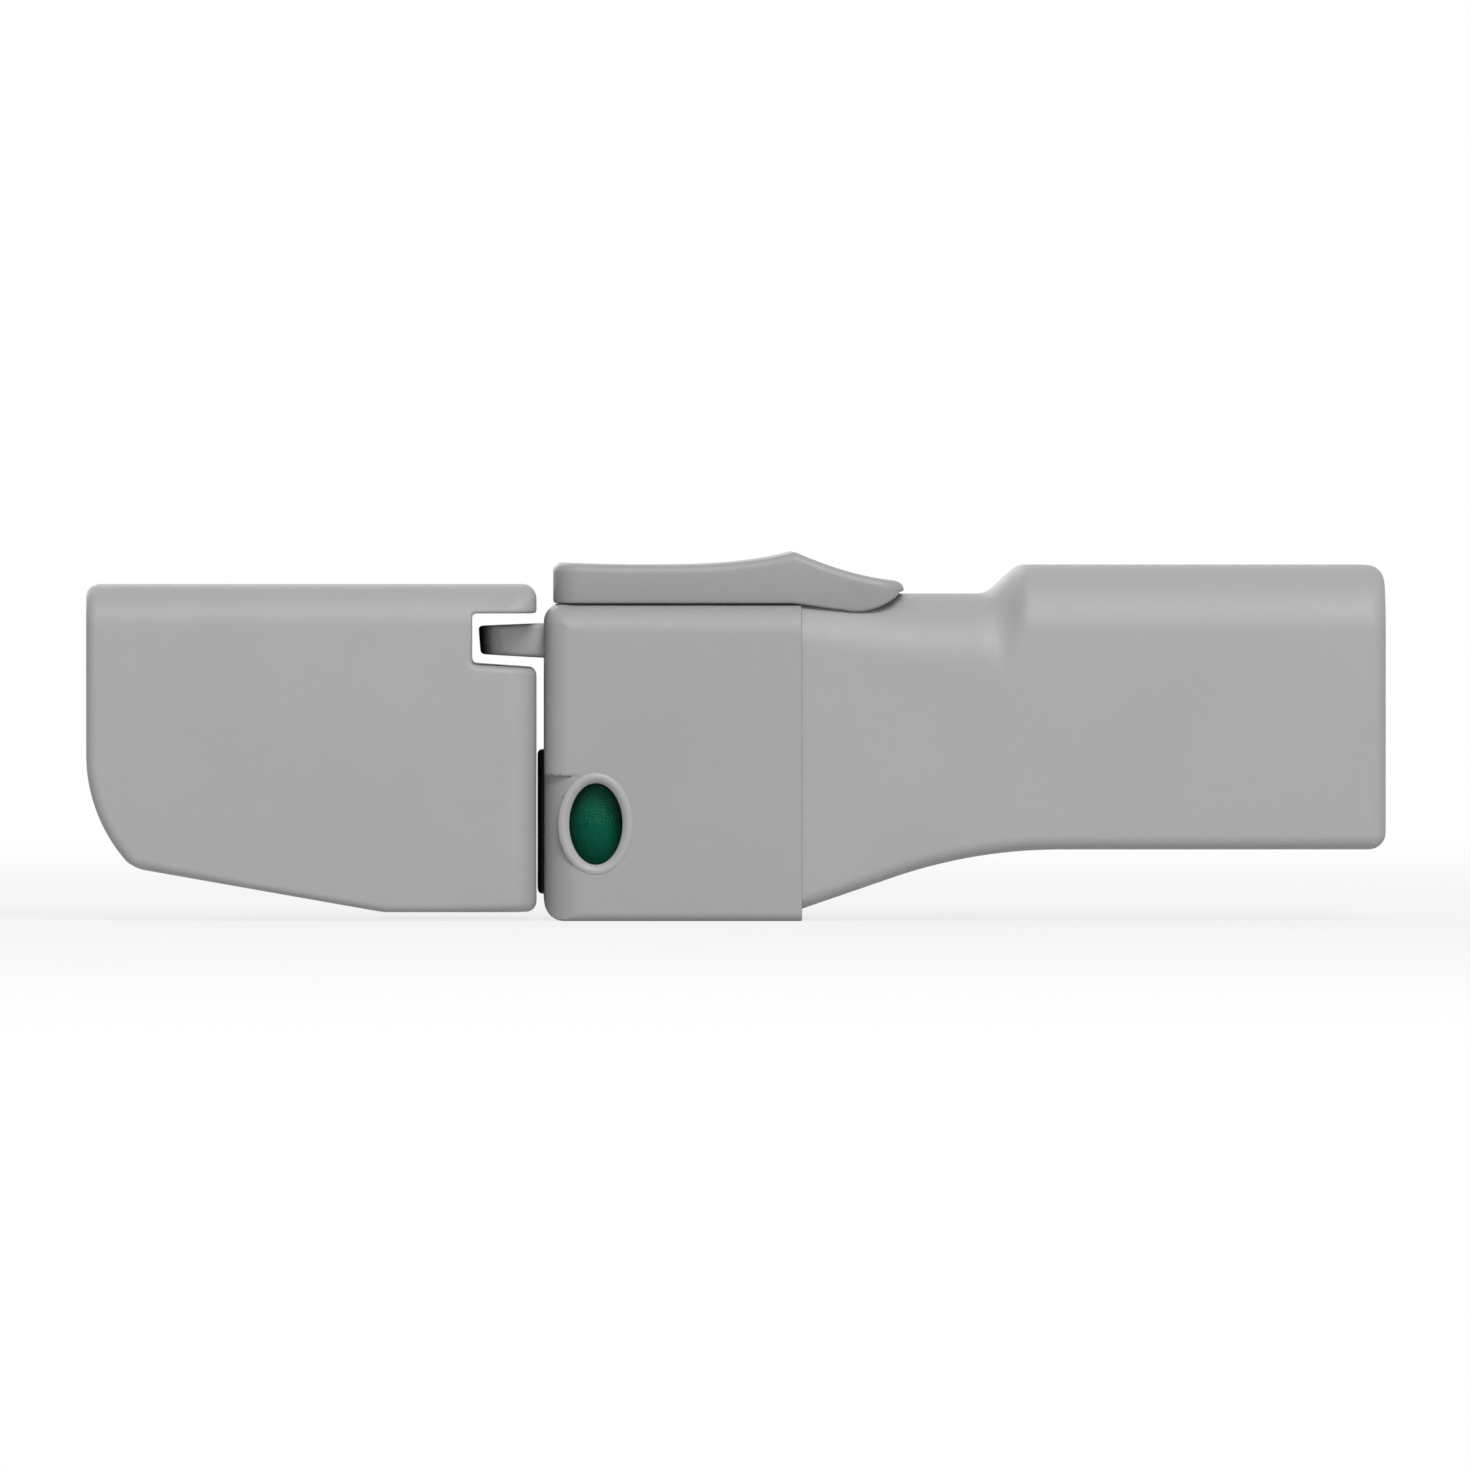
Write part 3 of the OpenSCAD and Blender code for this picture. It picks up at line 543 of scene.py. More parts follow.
def inset(y, half, r):
    """How far an edge of radius r has drawn the outline in at depth y: r - sqrt(r^2 - t^2), where t is how far y
    has gone into the rounded edge."""
    t = np.clip(np.abs(y) - half + r, 0, r)
    return r - np.sqrt(r * r - t * t)


def catch_upper(x, z, drawn_in):
    """Field of the outline's top and right side, from the front. The radius of their corner grows with how far
    the outline is drawn in, so that the rounded edges of both run into one."""
    return both(z - catch_high[2], x - catch_high[0], CORNER_RADIUS + CORNER_GROWTH * drawn_in)


def catch_lower(x, z):
    """Field of the rest of the outline: a left side that ends in a quarter circle of SWEEP_RADIUS round
    (0, SWEEP_Z), and an underside that slopes from FOOT to KNEE and then runs level."""
    along = (KNEE - FOOT) / np.linalg.norm(KNEE - FOOT)
    slope = (x - FOOT[0]) * along[1] - (z - FOOT[1]) * along[0]
    left = np.hypot(np.minimum(x, 0), np.minimum(z - SWEEP_Z, 0)) - SWEEP_RADIUS
    return both(left, np.maximum(slope, catch_low[2] - z), FOOT_RADIUS)


def notch(x, z):
    """Field of the notch: everything right of its back wall, under the lip and over a floor that falls a little."""
    floor = NOTCH_FLOOR - NOTCH_FALL * (x - NOTCH_X) / (catch_high[0] - NOTCH_X)
    return both(both(NOTCH_X - x, z - NOTCH_TOP, NOTCH_CORNER), floor - z, NOTCH_CORNER)


print("the notch is", round(NOTCH_TOP - NOTCH_FLOOR, 2), "mm high at its back")

# %% Fields of the catch shells
TOP_EDGE, DOOR_EDGE, MEAN_EDGE = 4.8, 3.5, 4.0
LOWER_EDGE = ([-12, 0, 24, 33], [1.2, 0.9, 0.9, 1.3])
NOTCH_EDGE = ([10, 12], [0.8, 0.4])
HALF_TUBE = 15.25
SOCKET_CORNER, SOCKET_EDGE = 2.0, 0.5
POST_TOP = 2.0
NOSE_WALL, NOSE_ROOF = 2.7, 2.4
NOSE_CORNER, NOSE_EDGE = 0.6, 0.4
NOSE_LOW = (HALF_TUBE + NOSE_WALL, -HALF_TUBE, catch_low[2] + NOSE_WALL)
NOSE_HIGH = (catch_high[0] - NOSE_WALL, HALF_TUBE, NOTCH_FLOOR - NOTCH_FALL - NOSE_ROOF)
CATCH_SCREW_X = (NOSE_LOW[0] + NOSE_HIGH[0]) / 2
CATCH_SCREWS = (NOSE_LOW[2] + 4.4, NOSE_HIGH[2] - 4.4)
CATCH_BOSS = 4.2
CATCH_FIXINGS = ((-8, 0), (8, 0))


def tube_space(a, b):
    """Field of the space that a square tube takes up, from its two distances across."""
    return both(np.abs(a) - HALF_TUBE, np.abs(b) - HALF_TUBE, SOCKET_CORNER)


def catch_body(p):
    """The housing with its notch, the sockets of the tubes and the hollow in its nose. The radius of its long
    edges goes from TOP_EDGE to DOOR_EDGE, and the lower outline and the notch cut it with small ones."""
    x, y, z = p
    edge = weigh([catch_high[2] - z, catch_high[0] - x], [TOP_EDGE, DOOR_EDGE])
    body = both(catch_upper(x, z, inset(y, catch_half, MEAN_EDGE)), np.abs(y) - catch_half, edge)
    body = both(body, catch_lower(x, z), np.interp(x, *LOWER_EDGE))
    body = less(body, notch(x, z), np.interp(z, *NOTCH_EDGE))
    rail = np.maximum(tube_space(y, z), x - HALF_TUBE)
    post = np.maximum(tube_space(y, x), z - POST_TOP)
    body = less(body, np.minimum(rail, post), SOCKET_EDGE)
    return less(body, block(p, NOSE_LOW, NOSE_HIGH, NOSE_CORNER), NOSE_EDGE)


def catch_front_field(p):
    """The front half, with a boss and a pilot hole for each screw."""
    boss, pilot = (ROOT - catch_half, -SEAM), (-12, 1)
    return front_bosses(p, front_half(p, catch_body(p)), CATCH_SCREW_X, CATCH_SCREWS, SLIM_BOSS, boss, pilot)


def catch_rear_field(p):
    """The rear half, with a sunk hole for each screw and two holes for the screws into the tubes."""
    boss = (SEAM, catch_half - ROOT)
    body = rear_half(p, catch_body(p))
    body = rear_bosses(p, body, CATCH_SCREW_X, CATCH_SCREWS, CATCH_BOSS, boss, catch_half)
    return fixing_holes(p, body, CATCH_FIXINGS)


shells("catch", catch_front_field, catch_rear_field, 0.36, shell_grey, "catch", "shell")

# %% [markdown]
# ## The lock head
#
# The lock head is a thin-walled box beside the catch, with well rounded top edges. Openings let the tongue and
# the black feeler out at its end, a slot in the roof lets the tongue's post up to the slider, and the window
# sits in its front. From just above the window downwards the front corner is rounder, and a fine crease marks
# where that begins. One form gives the outside and, moved in by the wall, the hollow.

# %% Form of the lock head
WALL = 2.0
SLIP = 0.3
HEAD_CORNER, LEAST_CORNER = 2.3, 0.4
HEAD_EDGES, LEAST_EDGE = [3.5, 3.0, 1.0], 0.5
JOIN_EDGE = 0.12
TONGUE_TOP = head_high[2] - WALL - SLIP
TONGUE_HALF = 7.0
FEELER_GAP = (-17.9, -0.5)
RACK_GAP_LOW = (-9.8, -3.05)
SLOT_X, SLOT_HALF = (36.4, 55.6), 4.3


def head_form(p, inward, reach):
    """The head's outer form moved in by inward, and lengthened at the handle's side by reach. HEAD_EDGES are the
    radii along its top, its end and its bottom."""
    x, y, z = p
    end = head_x0 + inward - x
    top = z - head_high[2] + inward
    bottom = head_low[2] + inward - z
    corner = max(HEAD_CORNER - inward, LEAST_CORNER)
    outline = both(both(end, top, corner), bottom, corner)
    edge = weigh([-top, -end, -bottom], HEAD_EDGES)
    form = both(outline, np.abs(y) - head_half + inward, np.maximum(edge - inward, LEAST_EDGE))
    return both(form, x - head_x1 - reach, JOIN_EDGE)


def end_gap(p, low_yz, high_yz, r):
    """An opening through the head's end wall, between two corners in y and z."""
    return block(p, (head_x0 - 2, *low_yz), (head_x0 + 4, *high_yz), r)


def head_body(p):
    """The head, hollow, with every opening in its walls."""
    side = TONGUE_HALF + SLIP
    body = less(head_form(p, 0, 0), head_form(p, WALL, 5), 0.3)
    tongue_gap = end_gap(p, (-side, tongue_low[2] - SLIP), (side, TONGUE_TOP + SLIP), 0.4)
    feeler_gap = end_gap(p, (-side, FEELER_GAP[0]), (side, FEELER_GAP[1]), 0.4)
    feeler_gap = np.minimum(feeler_gap, end_gap(p, RACK_GAP_LOW, (0, FEELER_GAP[1]), 0.3))
    roof = head_high[2]
    roof_slot = block(p, (SLOT_X[0], -SLOT_HALF, roof - 3), (SLOT_X[1], SLOT_HALF, roof + 2), 0.5)
    return less(body, np.minimum(np.minimum(tongue_gap, feeler_gap), roof_slot), 0.35)


print("the tongue's top lies at", round(TONGUE_TOP, 2), "mm, under a roof of", WALL, "mm")

# %% Fields of the head shells
RIM = ((bezel_high[0] - bezel_low[0]) / 2, (bezel_high[2] - bezel_low[2]) / 2)
RIM_LAP = 0.2
CREASE_Z = window_z + 5.6
CREASE_DEPTH, CREASE_RADIUS, CREASE_EDGE = 0.13, 5.2, 0.12
LUG_X = head_x0 + 21.8
LUGS = (2.5, -14.0)
LUG_Y = 9


def head_front_field(p):
    """The front half: the rounder corner below CREASE_Z, the window's seat, and bosses for the screws."""
    x, y, z = p
    body = front_half(p, head_body(p))
    corner = both(np.abs(y) - head_half - CREASE_DEPTH, head_x0 - CREASE_DEPTH - x, CREASE_RADIUS)
    body = less(body, np.maximum(-corner, z - CREASE_Z), CREASE_EDGE)
    seat = pillow(x - window_x, z - window_z, RIM[0] - RIM_LAP, RIM[1] - RIM_LAP)
    body = less(body, np.maximum(seat, y + 5), 0.05)
    return front_bosses(p, body, LUG_X, LUGS, WIDE_BOSS, (ROOT - head_half, -LUG_Y), (WALL - head_half, 0))


def head_rear_field(p):
    """The rear half, with a sunk hole for each screw."""
    body = rear_half(p, head_body(p))
    return rear_bosses(p, body, LUG_X, LUGS, WIDE_BOSS, (LUG_Y, head_half - ROOT), head_half, 0.2)


shells("head", head_front_field, head_rear_field, 0.32, head_grey, "lock_head", "head")

# %% [markdown]
# ## The handle
#
# The handle goes on from the lock head. Its underside slopes up out of the lock head and bends level, its top
# rises behind the slider to a rounded grip, and its far end is open for the door's top rail. The heights along
# its length are two functions of x, and the field uses them as its top and its underside.

# %% Heights along the handle
RUNWAY_Z = 17.4
RUNWAY_END = slider_high[0] + 9.0
RAMP = 5.5
GRIP_TOP = handle_high[2]
GRIP_LOW = -12.3
BELLY_Z = handle_low[2]
BELLY_RADIUS = 60.0
BELLY_SLOPE = math.radians(19)
BEND_X = head_x1 + (GRIP_LOW - BELLY_RADIUS * (1 - math.cos(BELLY_SLOPE)) - BELLY_Z) / math.tan(BELLY_SLOPE)
LEVEL_X = BEND_X + BELLY_RADIUS * math.sin(BELLY_SLOPE)
SHOULDER = ([head_x1, head_x1 + 14], [6.0, 8.0])


def crown(x):
    """Height of the top: level under the slider, then half a cosine wave up to the grip."""
    t = np.clip((x - RUNWAY_END) / RAMP, 0, 1)
    return RUNWAY_Z + (GRIP_TOP - RUNWAY_Z) * (1 - np.cos(np.pi * t)) / 2


def belly(x):
    """Height of the underside: a straight slope, then an arc of BELLY_RADIUS that ends level."""
    rise = BELLY_Z + (x - head_x1) * math.tan(BELLY_SLOPE)
    across = np.clip((LEVEL_X - x) / BELLY_RADIUS, 0, math.sin(BELLY_SLOPE))
    arc = GRIP_LOW - BELLY_RADIUS * (1 - np.sqrt(1 - across**2))
    return np.where(x < BEND_X, rise, arc)


def shoulder(x):
    """Radius of the handle's top edges, which grows from 6 mm at the lock head to 8 mm at 14 mm from it."""
    return np.interp(x, *SHOULDER)


print("the underside bends at", round(BEND_X, 1), "and is level from", round(LEVEL_X, 1))

# %% Form of the handle
UNDER_EDGE, END_EDGE = 1.6, 2.0
INNER_UNDER_EDGE, INNER_END_EDGE = 0.5, 0.4
PLUG_GAP, PLUG_IN = 0.12, 1.4
GUIDE_HALF, GUIDE_LOW = 9.6, 7.3
RAIL_Z = 3.6
RAIL_HALF = 12.75
RAIL_END = handle_x1 - 40
SPINDLE_X = head_x0 + 39.55
SPINDLE_RADIUS = 5.9
HOLLOW_EDGE = 0.3


def handle_form(p, inward, x0, x1):
    """The handle's outer form moved in by inward, from x0 to x1. A height above the crown is divided by
    sqrt(1 + slope^2), which makes it a distance."""
    x, y, z = p
    t = np.clip((x - RUNWAY_END) / RAMP, 0, 1)
    slope = (GRIP_TOP - RUNWAY_Z) * np.pi / (2 * RAMP) * np.sin(np.pi * t)
    top = (z - crown(x)) / np.sqrt(1 + slope**2) + inward
    under = (belly(x) - z) * math.cos(BELLY_SLOPE / 2) + inward
    side = np.abs(y) - handle_half + inward
    under_edge, end_edge = (INNER_UNDER_EDGE, INNER_END_EDGE) if inward else (UNDER_EDGE, END_EDGE)
    form = np.maximum(both(top, side, shoulder(x) - inward), both(under, side, under_edge))
    return np.maximum(both(form, x - x1, end_edge), x0 - x)


def handle_body(p):
    """The handle, hollow for the lock and open for the rail, with the rim that plugs into the lock head and the
    guide that the tongue runs through."""
    x, y, z = p
    inside_plug = head_form(p, WALL + PLUG_IN, 9)
    rim = np.maximum(head_form(p, WALL + PLUG_GAP, 5), -inside_plug)
    rim = both(rim, between(x, head_x1 - 4, head_x1 + 1), 0.3)
    body = handle_form(p, 0, head_x1 - 0.4, handle_x1)
    body = less(body, handle_form(p, WALL, head_x1 + 1.2, RAIL_END - 2), HOLLOW_EDGE)
    body = less(body, np.maximum(inside_plug, between(x, head_x1 - 2, head_x1 + 1.4)), HOLLOW_EDGE)
    body = np.minimum(body, rim)
    guide_high = (head_x1 + 1.6, GUIDE_HALF, TONGUE_TOP + SLIP)
    body = less(body, block(p, (head_x1 - 5, -GUIDE_HALF, GUIDE_LOW), guide_high, 0.3), 0.2)
    rail = both(np.abs(y) - RAIL_HALF, np.abs(z - RAIL_Z) - RAIL_HALF, SOCKET_CORNER)
    body = less(body, np.maximum(rail, RAIL_END - x), SOCKET_EDGE)
    spindle = np.maximum(np.hypot(x - SPINDLE_X, y) - SPINDLE_RADIUS, z)
    return less(body, spindle, 0.4)


print("the rail's socket is", round(handle_x1 - RAIL_END, 1), "mm deep")

# %% Fields of the handle shells
HANDLE_SCREW_X = RUNWAY_END + 1
HANDLE_SCREWS = (9.0, -7.0)
HANDLE_FIXINGS = ((handle_x1 - 28, RAIL_Z), (handle_x1 - 12, RAIL_Z))
HANDLE_ROOT = 1


def handle_front_field(p):
    """The front half, with bosses for the screws."""
    boss, pilot = (HANDLE_ROOT - handle_half, -SEAM), (-11, 1)
    return front_bosses(p, front_half(p, handle_body(p)), HANDLE_SCREW_X, HANDLE_SCREWS, SLIM_BOSS, boss, pilot)


def handle_rear_field(p):
    """The rear half, with sunk holes for the screws and two holes for the screws into the rail."""
    boss = (SEAM, handle_half - HANDLE_ROOT)
    body = rear_half(p, handle_body(p))
    body = rear_bosses(p, body, HANDLE_SCREW_X, HANDLE_SCREWS, WIDE_BOSS, boss, handle_half)
    return fixing_holes(p, body, HANDLE_FIXINGS)


shells("handle", handle_front_field, handle_rear_field, 0.42, shell_grey, "lock_head", "shell")

# %% [markdown]
# ## The thumb slider
#
# The slider covers the top of the lock head and the start of the handle. It has a shallow dish for the thumb, a
# ridge that the thumb pulls on, and a tail that falls away. Its underside runs on the lock head, and a tunnel
# under its tail lets the handle pass. The top is one function of x, and a field turns it and the leaning sides
# into a closed shape with soft edges.

# %% Top line of the slider
DISH_Z, DISH_LIFT, DISH_LENGTH = 20.8, 0.2, 9
RIDGE_Z = slider_high[2]
TAIL_Z, TAIL_POWER = 18.9, 1.6
RIDGE_X = slider_low[0] + 28
DISH_X = slider_low[0] + 10.5


def back_line(x):
    """Height of the slider's top: a dish that lifts by a square at its left end, a cubic rise to the ridge, and a
    tail that falls as the power 1.6 of what is left of it."""
    lift = DISH_LIFT * ((DISH_X - np.minimum(x, DISH_X)) / DISH_LENGTH) ** 2
    rise = (RIDGE_Z - DISH_Z) * np.clip((x - DISH_X) / (RIDGE_X - DISH_X), 0, 1) ** 3
    left = np.clip(1 - (x - RIDGE_X) / (slider_high[0] - RIDGE_X), 0, 1)
    tail = TAIL_Z + (RIDGE_Z - TAIL_Z) * left**TAIL_POWER
    return np.where(x < RIDGE_X, DISH_Z + lift + rise, tail)


print("the dish is", round(RIDGE_Z - DISH_Z, 2), "mm lower than the ridge")

# %% Field of the slider
SLIDER_LOW = head_high[2] + 0.06
HOLLOW_DEPTH, HOLLOW_HALF = 0.35, 13.0
LEAN = 0.026
PLAN_CORNER, RIDGE_EDGE, SKIRT_EDGE = 3.0, 1.0, 0.25
SWEEP_HEIGHT, SWEEP_LENGTH = 2.4, 5.5
SKIRT = ([head_x1 - 1, slider_high[0] - 6], [SLIDER_LOW, slider_low[2]])
TUNNEL_X = head_x1 - 9.3
TUNNEL_WALL, RUNWAY_SLIP = 2, 0.12


def slider_field(p):
    """The slider: its sides lean in towards the skirt by LEAN times the square of the depth below the ridge, its
    skirt sweeps up at the tail by a square, and its dish is hollow across as well."""
    x, y, z = p
    hollow = HOLLOW_DEPTH * np.clip(1 - (y / HOLLOW_HALF) ** 2, 0, 1) * np.clip((RIDGE_X - 1 - x) / 8, 0, 1)
    hollow = hollow * np.clip((x - slider_low[0] - 1) / 4, 0, 1)
    top = (z - back_line(x) + hollow) * 0.97
    skirt = np.interp(np.ravel(x), *SKIRT).reshape(np.shape(x))
    sweep = SWEEP_HEIGHT * np.clip((x - slider_high[0] + SWEEP_LENGTH) / SWEEP_LENGTH, 0, 1) ** 2
    under = (skirt + sweep - z) * 0.9
    side = np.abs(y) - slider_half + LEAN * np.maximum(RIDGE_Z - z, 0) ** 2
    plan = both(side, slider_low[0] - x, PLAN_CORNER)
    plan = both(plan, x - slider_high[0], PLAN_CORNER)
    body = both(both(plan, top, RIDGE_EDGE), under, SKIRT_EDGE)
    tunnel = both(np.abs(y) - slider_half + TUNNEL_WALL, z - RUNWAY_Z - SLIP, 0.4)
    runway = both(z - RUNWAY_Z, np.abs(y) - handle_half, shoulder(x)) - RUNWAY_SLIP
    return less(body, np.maximum(np.minimum(tunnel, runway), TUNNEL_X - x), 0.2)


moulding("thumb_slider_cap", slider_field, "thumb_slider", 0.3, slider_grey, "slider", "slider")

# %% [markdown]
# ## The tongue
#
# The tongue is a flat bolt with a nose that is round from above and tapers a little from the side, so that it
# finds the notch. A post goes up to the slider, and two screws from below hold the two together. It is a field
# too, because the post grows out of the bolt with a fillet.

# %% Field of the tongue
TONGUE_LOW = tongue_low[2]
TAPER_LENGTH, TAPER_LOW, TAPER_TOP = 8.7, 0.5, 0.35
NOSE_LEAN, NOSE_RADIUS, BOLT_EDGE = 0.08, 3.0, 0.45
POST_X = (head_x0 + WALL + SLIP + 0.1, head_x0 + WALL + SLIP + 10.1)
POST_HALF = 4
POCKET_RADIUS, POCKET_DEPTH = 0.9, 11.5
SCREW_INSET, SCREW_HEAD, SCREW_SINK, SCREW_BORE = 2.3, 2.4, 2.2, 1.4


def tongue_field(p):
    """The bolt and its post, less the pocket of the spring's rod and the two screw holes. The taper grows evenly
    from 1 mm inside the lock head to the nose."""
    x, y, z = p
    taper = np.clip((head_x0 + 1 - x) / TAPER_LENGTH, 0, 1)
    flat = np.maximum(TONGUE_LOW + TAPER_LOW * taper - z, z - TONGUE_TOP + TAPER_TOP * taper)
    nose = tongue_low[0] + NOSE_LEAN * (TONGUE_TOP - z) - x
    plan = np.maximum(both(np.abs(y) - TONGUE_HALF, nose, NOSE_RADIUS), x - tongue_high[0])
    bar = both(plan, flat, BOLT_EDGE)
    post = block(p, (POST_X[0], -POST_HALF, TONGUE_TOP - 1), (POST_X[1], POST_HALF, tongue_high[2]), 0.4)
    body = either(bar, post, 0.3)
    across = np.hypot(y, z - (TONGUE_LOW + TONGUE_TOP) / 2)
    body = less(body, np.maximum(across - POCKET_RADIUS, tongue_high[0] - POCKET_DEPTH - x), 0.2)
    for screw_x in (POST_X[0] + SCREW_INSET, POST_X[1] - SCREW_INSET):
        bore = np.hypot(x - screw_x, y)
        body = less(body, np.maximum(bore - SCREW_HEAD, z - TONGUE_LOW - SCREW_SINK), 0.25)
        body = less(body, np.maximum(bore - SCREW_BORE, TONGUE_LOW - 1 - z), 0.2)
    return body


moulding("tongue_bolt", tongue_field, "tongue", 0.25, tongue_painted_light_and_shade, "slider", "head")

# %% [markdown]
# ## The feeler
#
# The feeler fills the gap between the two halves. Its near-black colour is partly its own dark plastic and partly
# painted shade, the deep shade of that narrow gap. It is a rounded block with a flange that stops it inside the
# lock head, and a short rack that turns the window's drum. The blocks are joined in one field, so that the edges
# that show when the gate is open are soft, as they are on a moulded part.

# %% Field of the feeler
FEELER_Z0, FEELER_Z1 = feeler_low[2], feeler_high[2]
FEELER_HALF = 7
FLANGE_X = head_x0 + 7.3
FLANGE_THICK, FLANGE_Y = 1.5, 8.2
DRUM_X = window_x + 0.2
RACK_Y, RACK_DEPTH = -9.0, 1.85
RACK_X = (FLANGE_X - 2.9, FLANGE_X + 6.9)
PITCH = math.pi / 2
TOOTH_STEEP, TOOTH_MEAN, TOOTH_TIP, TOOTH_ROOT = 7.2, 1.225, -0.4, 0.7
COIL_RADIUS, COIL_Y, COIL_DEPTH = 3.0, 1, 5.5


def feeler_field(p):
    """Block, flange and rack, less the spring's pocket. The rack's teeth are a zigzag of x, clipped to their tips
    and roots."""
    x, y, z = p
    back_x = FLANGE_X + FLANGE_THICK
    body = block(p, (feeler_low[0], -FEELER_HALF, FEELER_Z0), (back_x, FEELER_HALF, FEELER_Z1), 0.6)
    flange = block(p, (FLANGE_X, -FEELER_HALF, FEELER_Z0), (back_x, FLANGE_Y, FEELER_Z1), 0.3)
    phase = (x - DRUM_X) / PITCH
    height = np.clip(TOOTH_STEEP * np.abs(phase - np.floor(phase) - 0.5) - TOOTH_MEAN, TOOTH_TIP, TOOTH_ROOT)
    teeth = np.maximum(RACK_Y + height - y, y + 6) * 0.4
    rack = both(both(teeth, between(x, *RACK_X), 0.1), between(z, FEELER_Z1 - RACK_DEPTH, FEELER_Z1), 0.1)
    body = np.minimum(np.minimum(body, flange), rack)
    pocket = np.maximum(np.hypot(y - COIL_Y, z - window_z) - COIL_RADIUS, FLANGE_X - COIL_DEPTH - x)
    return less(body, pocket, 0.2)


moulding("gap_plunger", feeler_field, "gap_feeler", 0.22, feeler_painted_shade_black, "feeler", "dark")

# %% [markdown]
# ## The window
#
# The window's rim is a ring of one rounded profile carried round an oval, and the lens is a shallow dome. Both
# are functions of two parameters: the angle round the oval, and the way along the profile or to the middle.

# %% Rim of the window
CREST, CREST_HEIGHT = 0.55, 0.45
FALL_FROM, FALL_DEPTH = 0.6, 0.25
RIM_RECESS = 0.22
OPENING = ((lens_high[0] - lens_low[0]) / 2, (lens_high[2] - lens_low[2]) / 2)


def grid_faces(rows, columns, closed_rows=False):
    """Quads of a grid of rows x columns points that closes round its columns, and round its rows if asked."""
    r = np.arange(rows if closed_rows else rows - 1)[:, None]
    c = np.arange(columns)[None, :]
    r1 = (r + 1) % rows
    c1 = (c + 1) % columns
    corners = [r * columns + c, r * columns + c1, r1 * columns + c1, r1 * columns + c]
    return np.stack([np.broadcast_to(q, (len(r), columns)).ravel() for q in corners], axis=1)


def window_rings(half_x, half_z, y, turns, closed_rows=False):
    """One oval ring round the window for each pair of half sizes, at its own y, and the faces between them."""
    a = np.linspace(0, 2 * np.pi, turns, endpoint=False)
    x = window_x + half_x[:, None] * np.cos(a)
    z = window_z + half_z[:, None] * np.sin(a)
    points = np.stack([x, np.broadcast_to(y[:, None], x.shape), z], axis=-1)
    return points.reshape(-1, 3), grid_faces(len(y), turns, closed_rows)


def rim_rings():
    """The profile is given as (outward, forward) from the window's edge, at a share t of its width: forward
    rises by the sine of a quarter turn up to a crest at t = CREST, and from FALL_FROM on falls by a square to the
    head's face. Outward is added to the half sizes of the window."""
    width = RIM[0] - OPENING[0]
    front = -bezel_low[1] - RIM_RECESS
    back = -bezel_high[1]
    t = np.linspace(0, 1, 17)
    inner = front - CREST_HEIGHT * (1 - np.sin(np.pi / 2 * np.minimum(t / CREST, 1)))
    profile = inner - FALL_DEPTH * np.maximum((t - FALL_FROM) / (1 - FALL_FROM), 0) ** 2
    outward = np.concatenate([[0.0], width * t, [width]])
    forward = np.concatenate([[back], profile, [back]])
    return window_rings(OPENING[0] + outward, OPENING[1] + outward, -forward, 160, closed_rows=True)


piece("window_rim", *rim_rings(), bezel_grey, "lock_head", "rim", ["indicator_bezel"])

# %% Lens
LENS_GAP = 0.04
DOME_HEIGHT = 0.35


def lens_rings():
    """Rings of the oval from its edge at the back, round its edge, and over a dome to a small middle ring. The
    dome falls away from its middle by DOME_HEIGHT times the square of the share of the radius."""
    share = np.concatenate([[1.0], np.linspace(1.0, 0.02, 14)])
    dome = lens_low[1] + DOME_HEIGHT * share**2
    dome[0] = lens_high[1]
    return window_rings((OPENING[0] - LENS_GAP) * share, (OPENING[1] - LENS_GAP) * share, dome, 96)


piece("window_lens", *lens_rings(), lens_clear, "lock_head", "lens", ["indicator_lens"])

# %% [markdown]
# ## The bands on the drum
#
# Behind the lens a drum carries a green band and a red one, each 114.6 degrees long, which is also how far the
# drum turns. The window shows a little more of the drum on its left than on its right, so the border between
# the bands lies a little further round than half of that. Each band is a strip of a cylinder: an angle round
# the drum and four corners across the strip.

# %% Bands
band_low, band_high = span("indicator_green")
BAND_RADIUS, BAND_THICK = 3.7, 0.35
DRUM_AXIS = (DRUM_X, band_low[1] + BAND_RADIUS)
BORDER = math.radians(-63.5)
BAND_ANGLE = math.radians(114.6)


def band_points(start, end, radius=BAND_RADIUS, thick=BAND_THICK, steps=48):
    """Points at angle a from the front, towards +x, at (axis + r sin a, axis - r cos a), where r and z take the
    values of the strip's four corners. The two ends repeat their corners' mean, which closes them."""
    a = np.linspace(start, end, steps)[:, None]
    a = np.concatenate([a[:1], a, a[-1:]])
    r = np.array([[radius, radius, radius - thick, radius - thick]]) * np.ones_like(a)
    z = np.array([[band_low[2], band_high[2], band_high[2], band_low[2]]]) * np.ones_like(a)
    r[[0, -1]] = radius - thick / 2
    z[[0, -1]] = (band_low[2] + band_high[2]) / 2
    x = DRUM_AXIS[0] + r * np.sin(a)
    y = DRUM_AXIS[1] - r * np.cos(a)
    return np.stack([x, y, z], axis=-1).reshape(-1, 3), grid_faces(steps + 2, 4)


for name, start, end, material, slot in (
    ("band_green", BORDER, BORDER + BAND_ANGLE, band_green, "green"),
    ("band_red", BORDER - BAND_ANGLE, BORDER, band_red, "red"),
):
    piece(name, *band_points(start, end), material, "drum", slot, ["indicator_" + slot])

# %% [markdown]
# ## Springs
#
# A coil spring is a round wire carried along a helix. The centre line is one formula, and at every point of it
# the wire's circle lies across the line. The last turn at each end closes flat, as on a real spring.

# %% Coil springs
WIRE = 0.5
PER_TURN, PER_RING = 36, 10
END_SHARE = 0.06


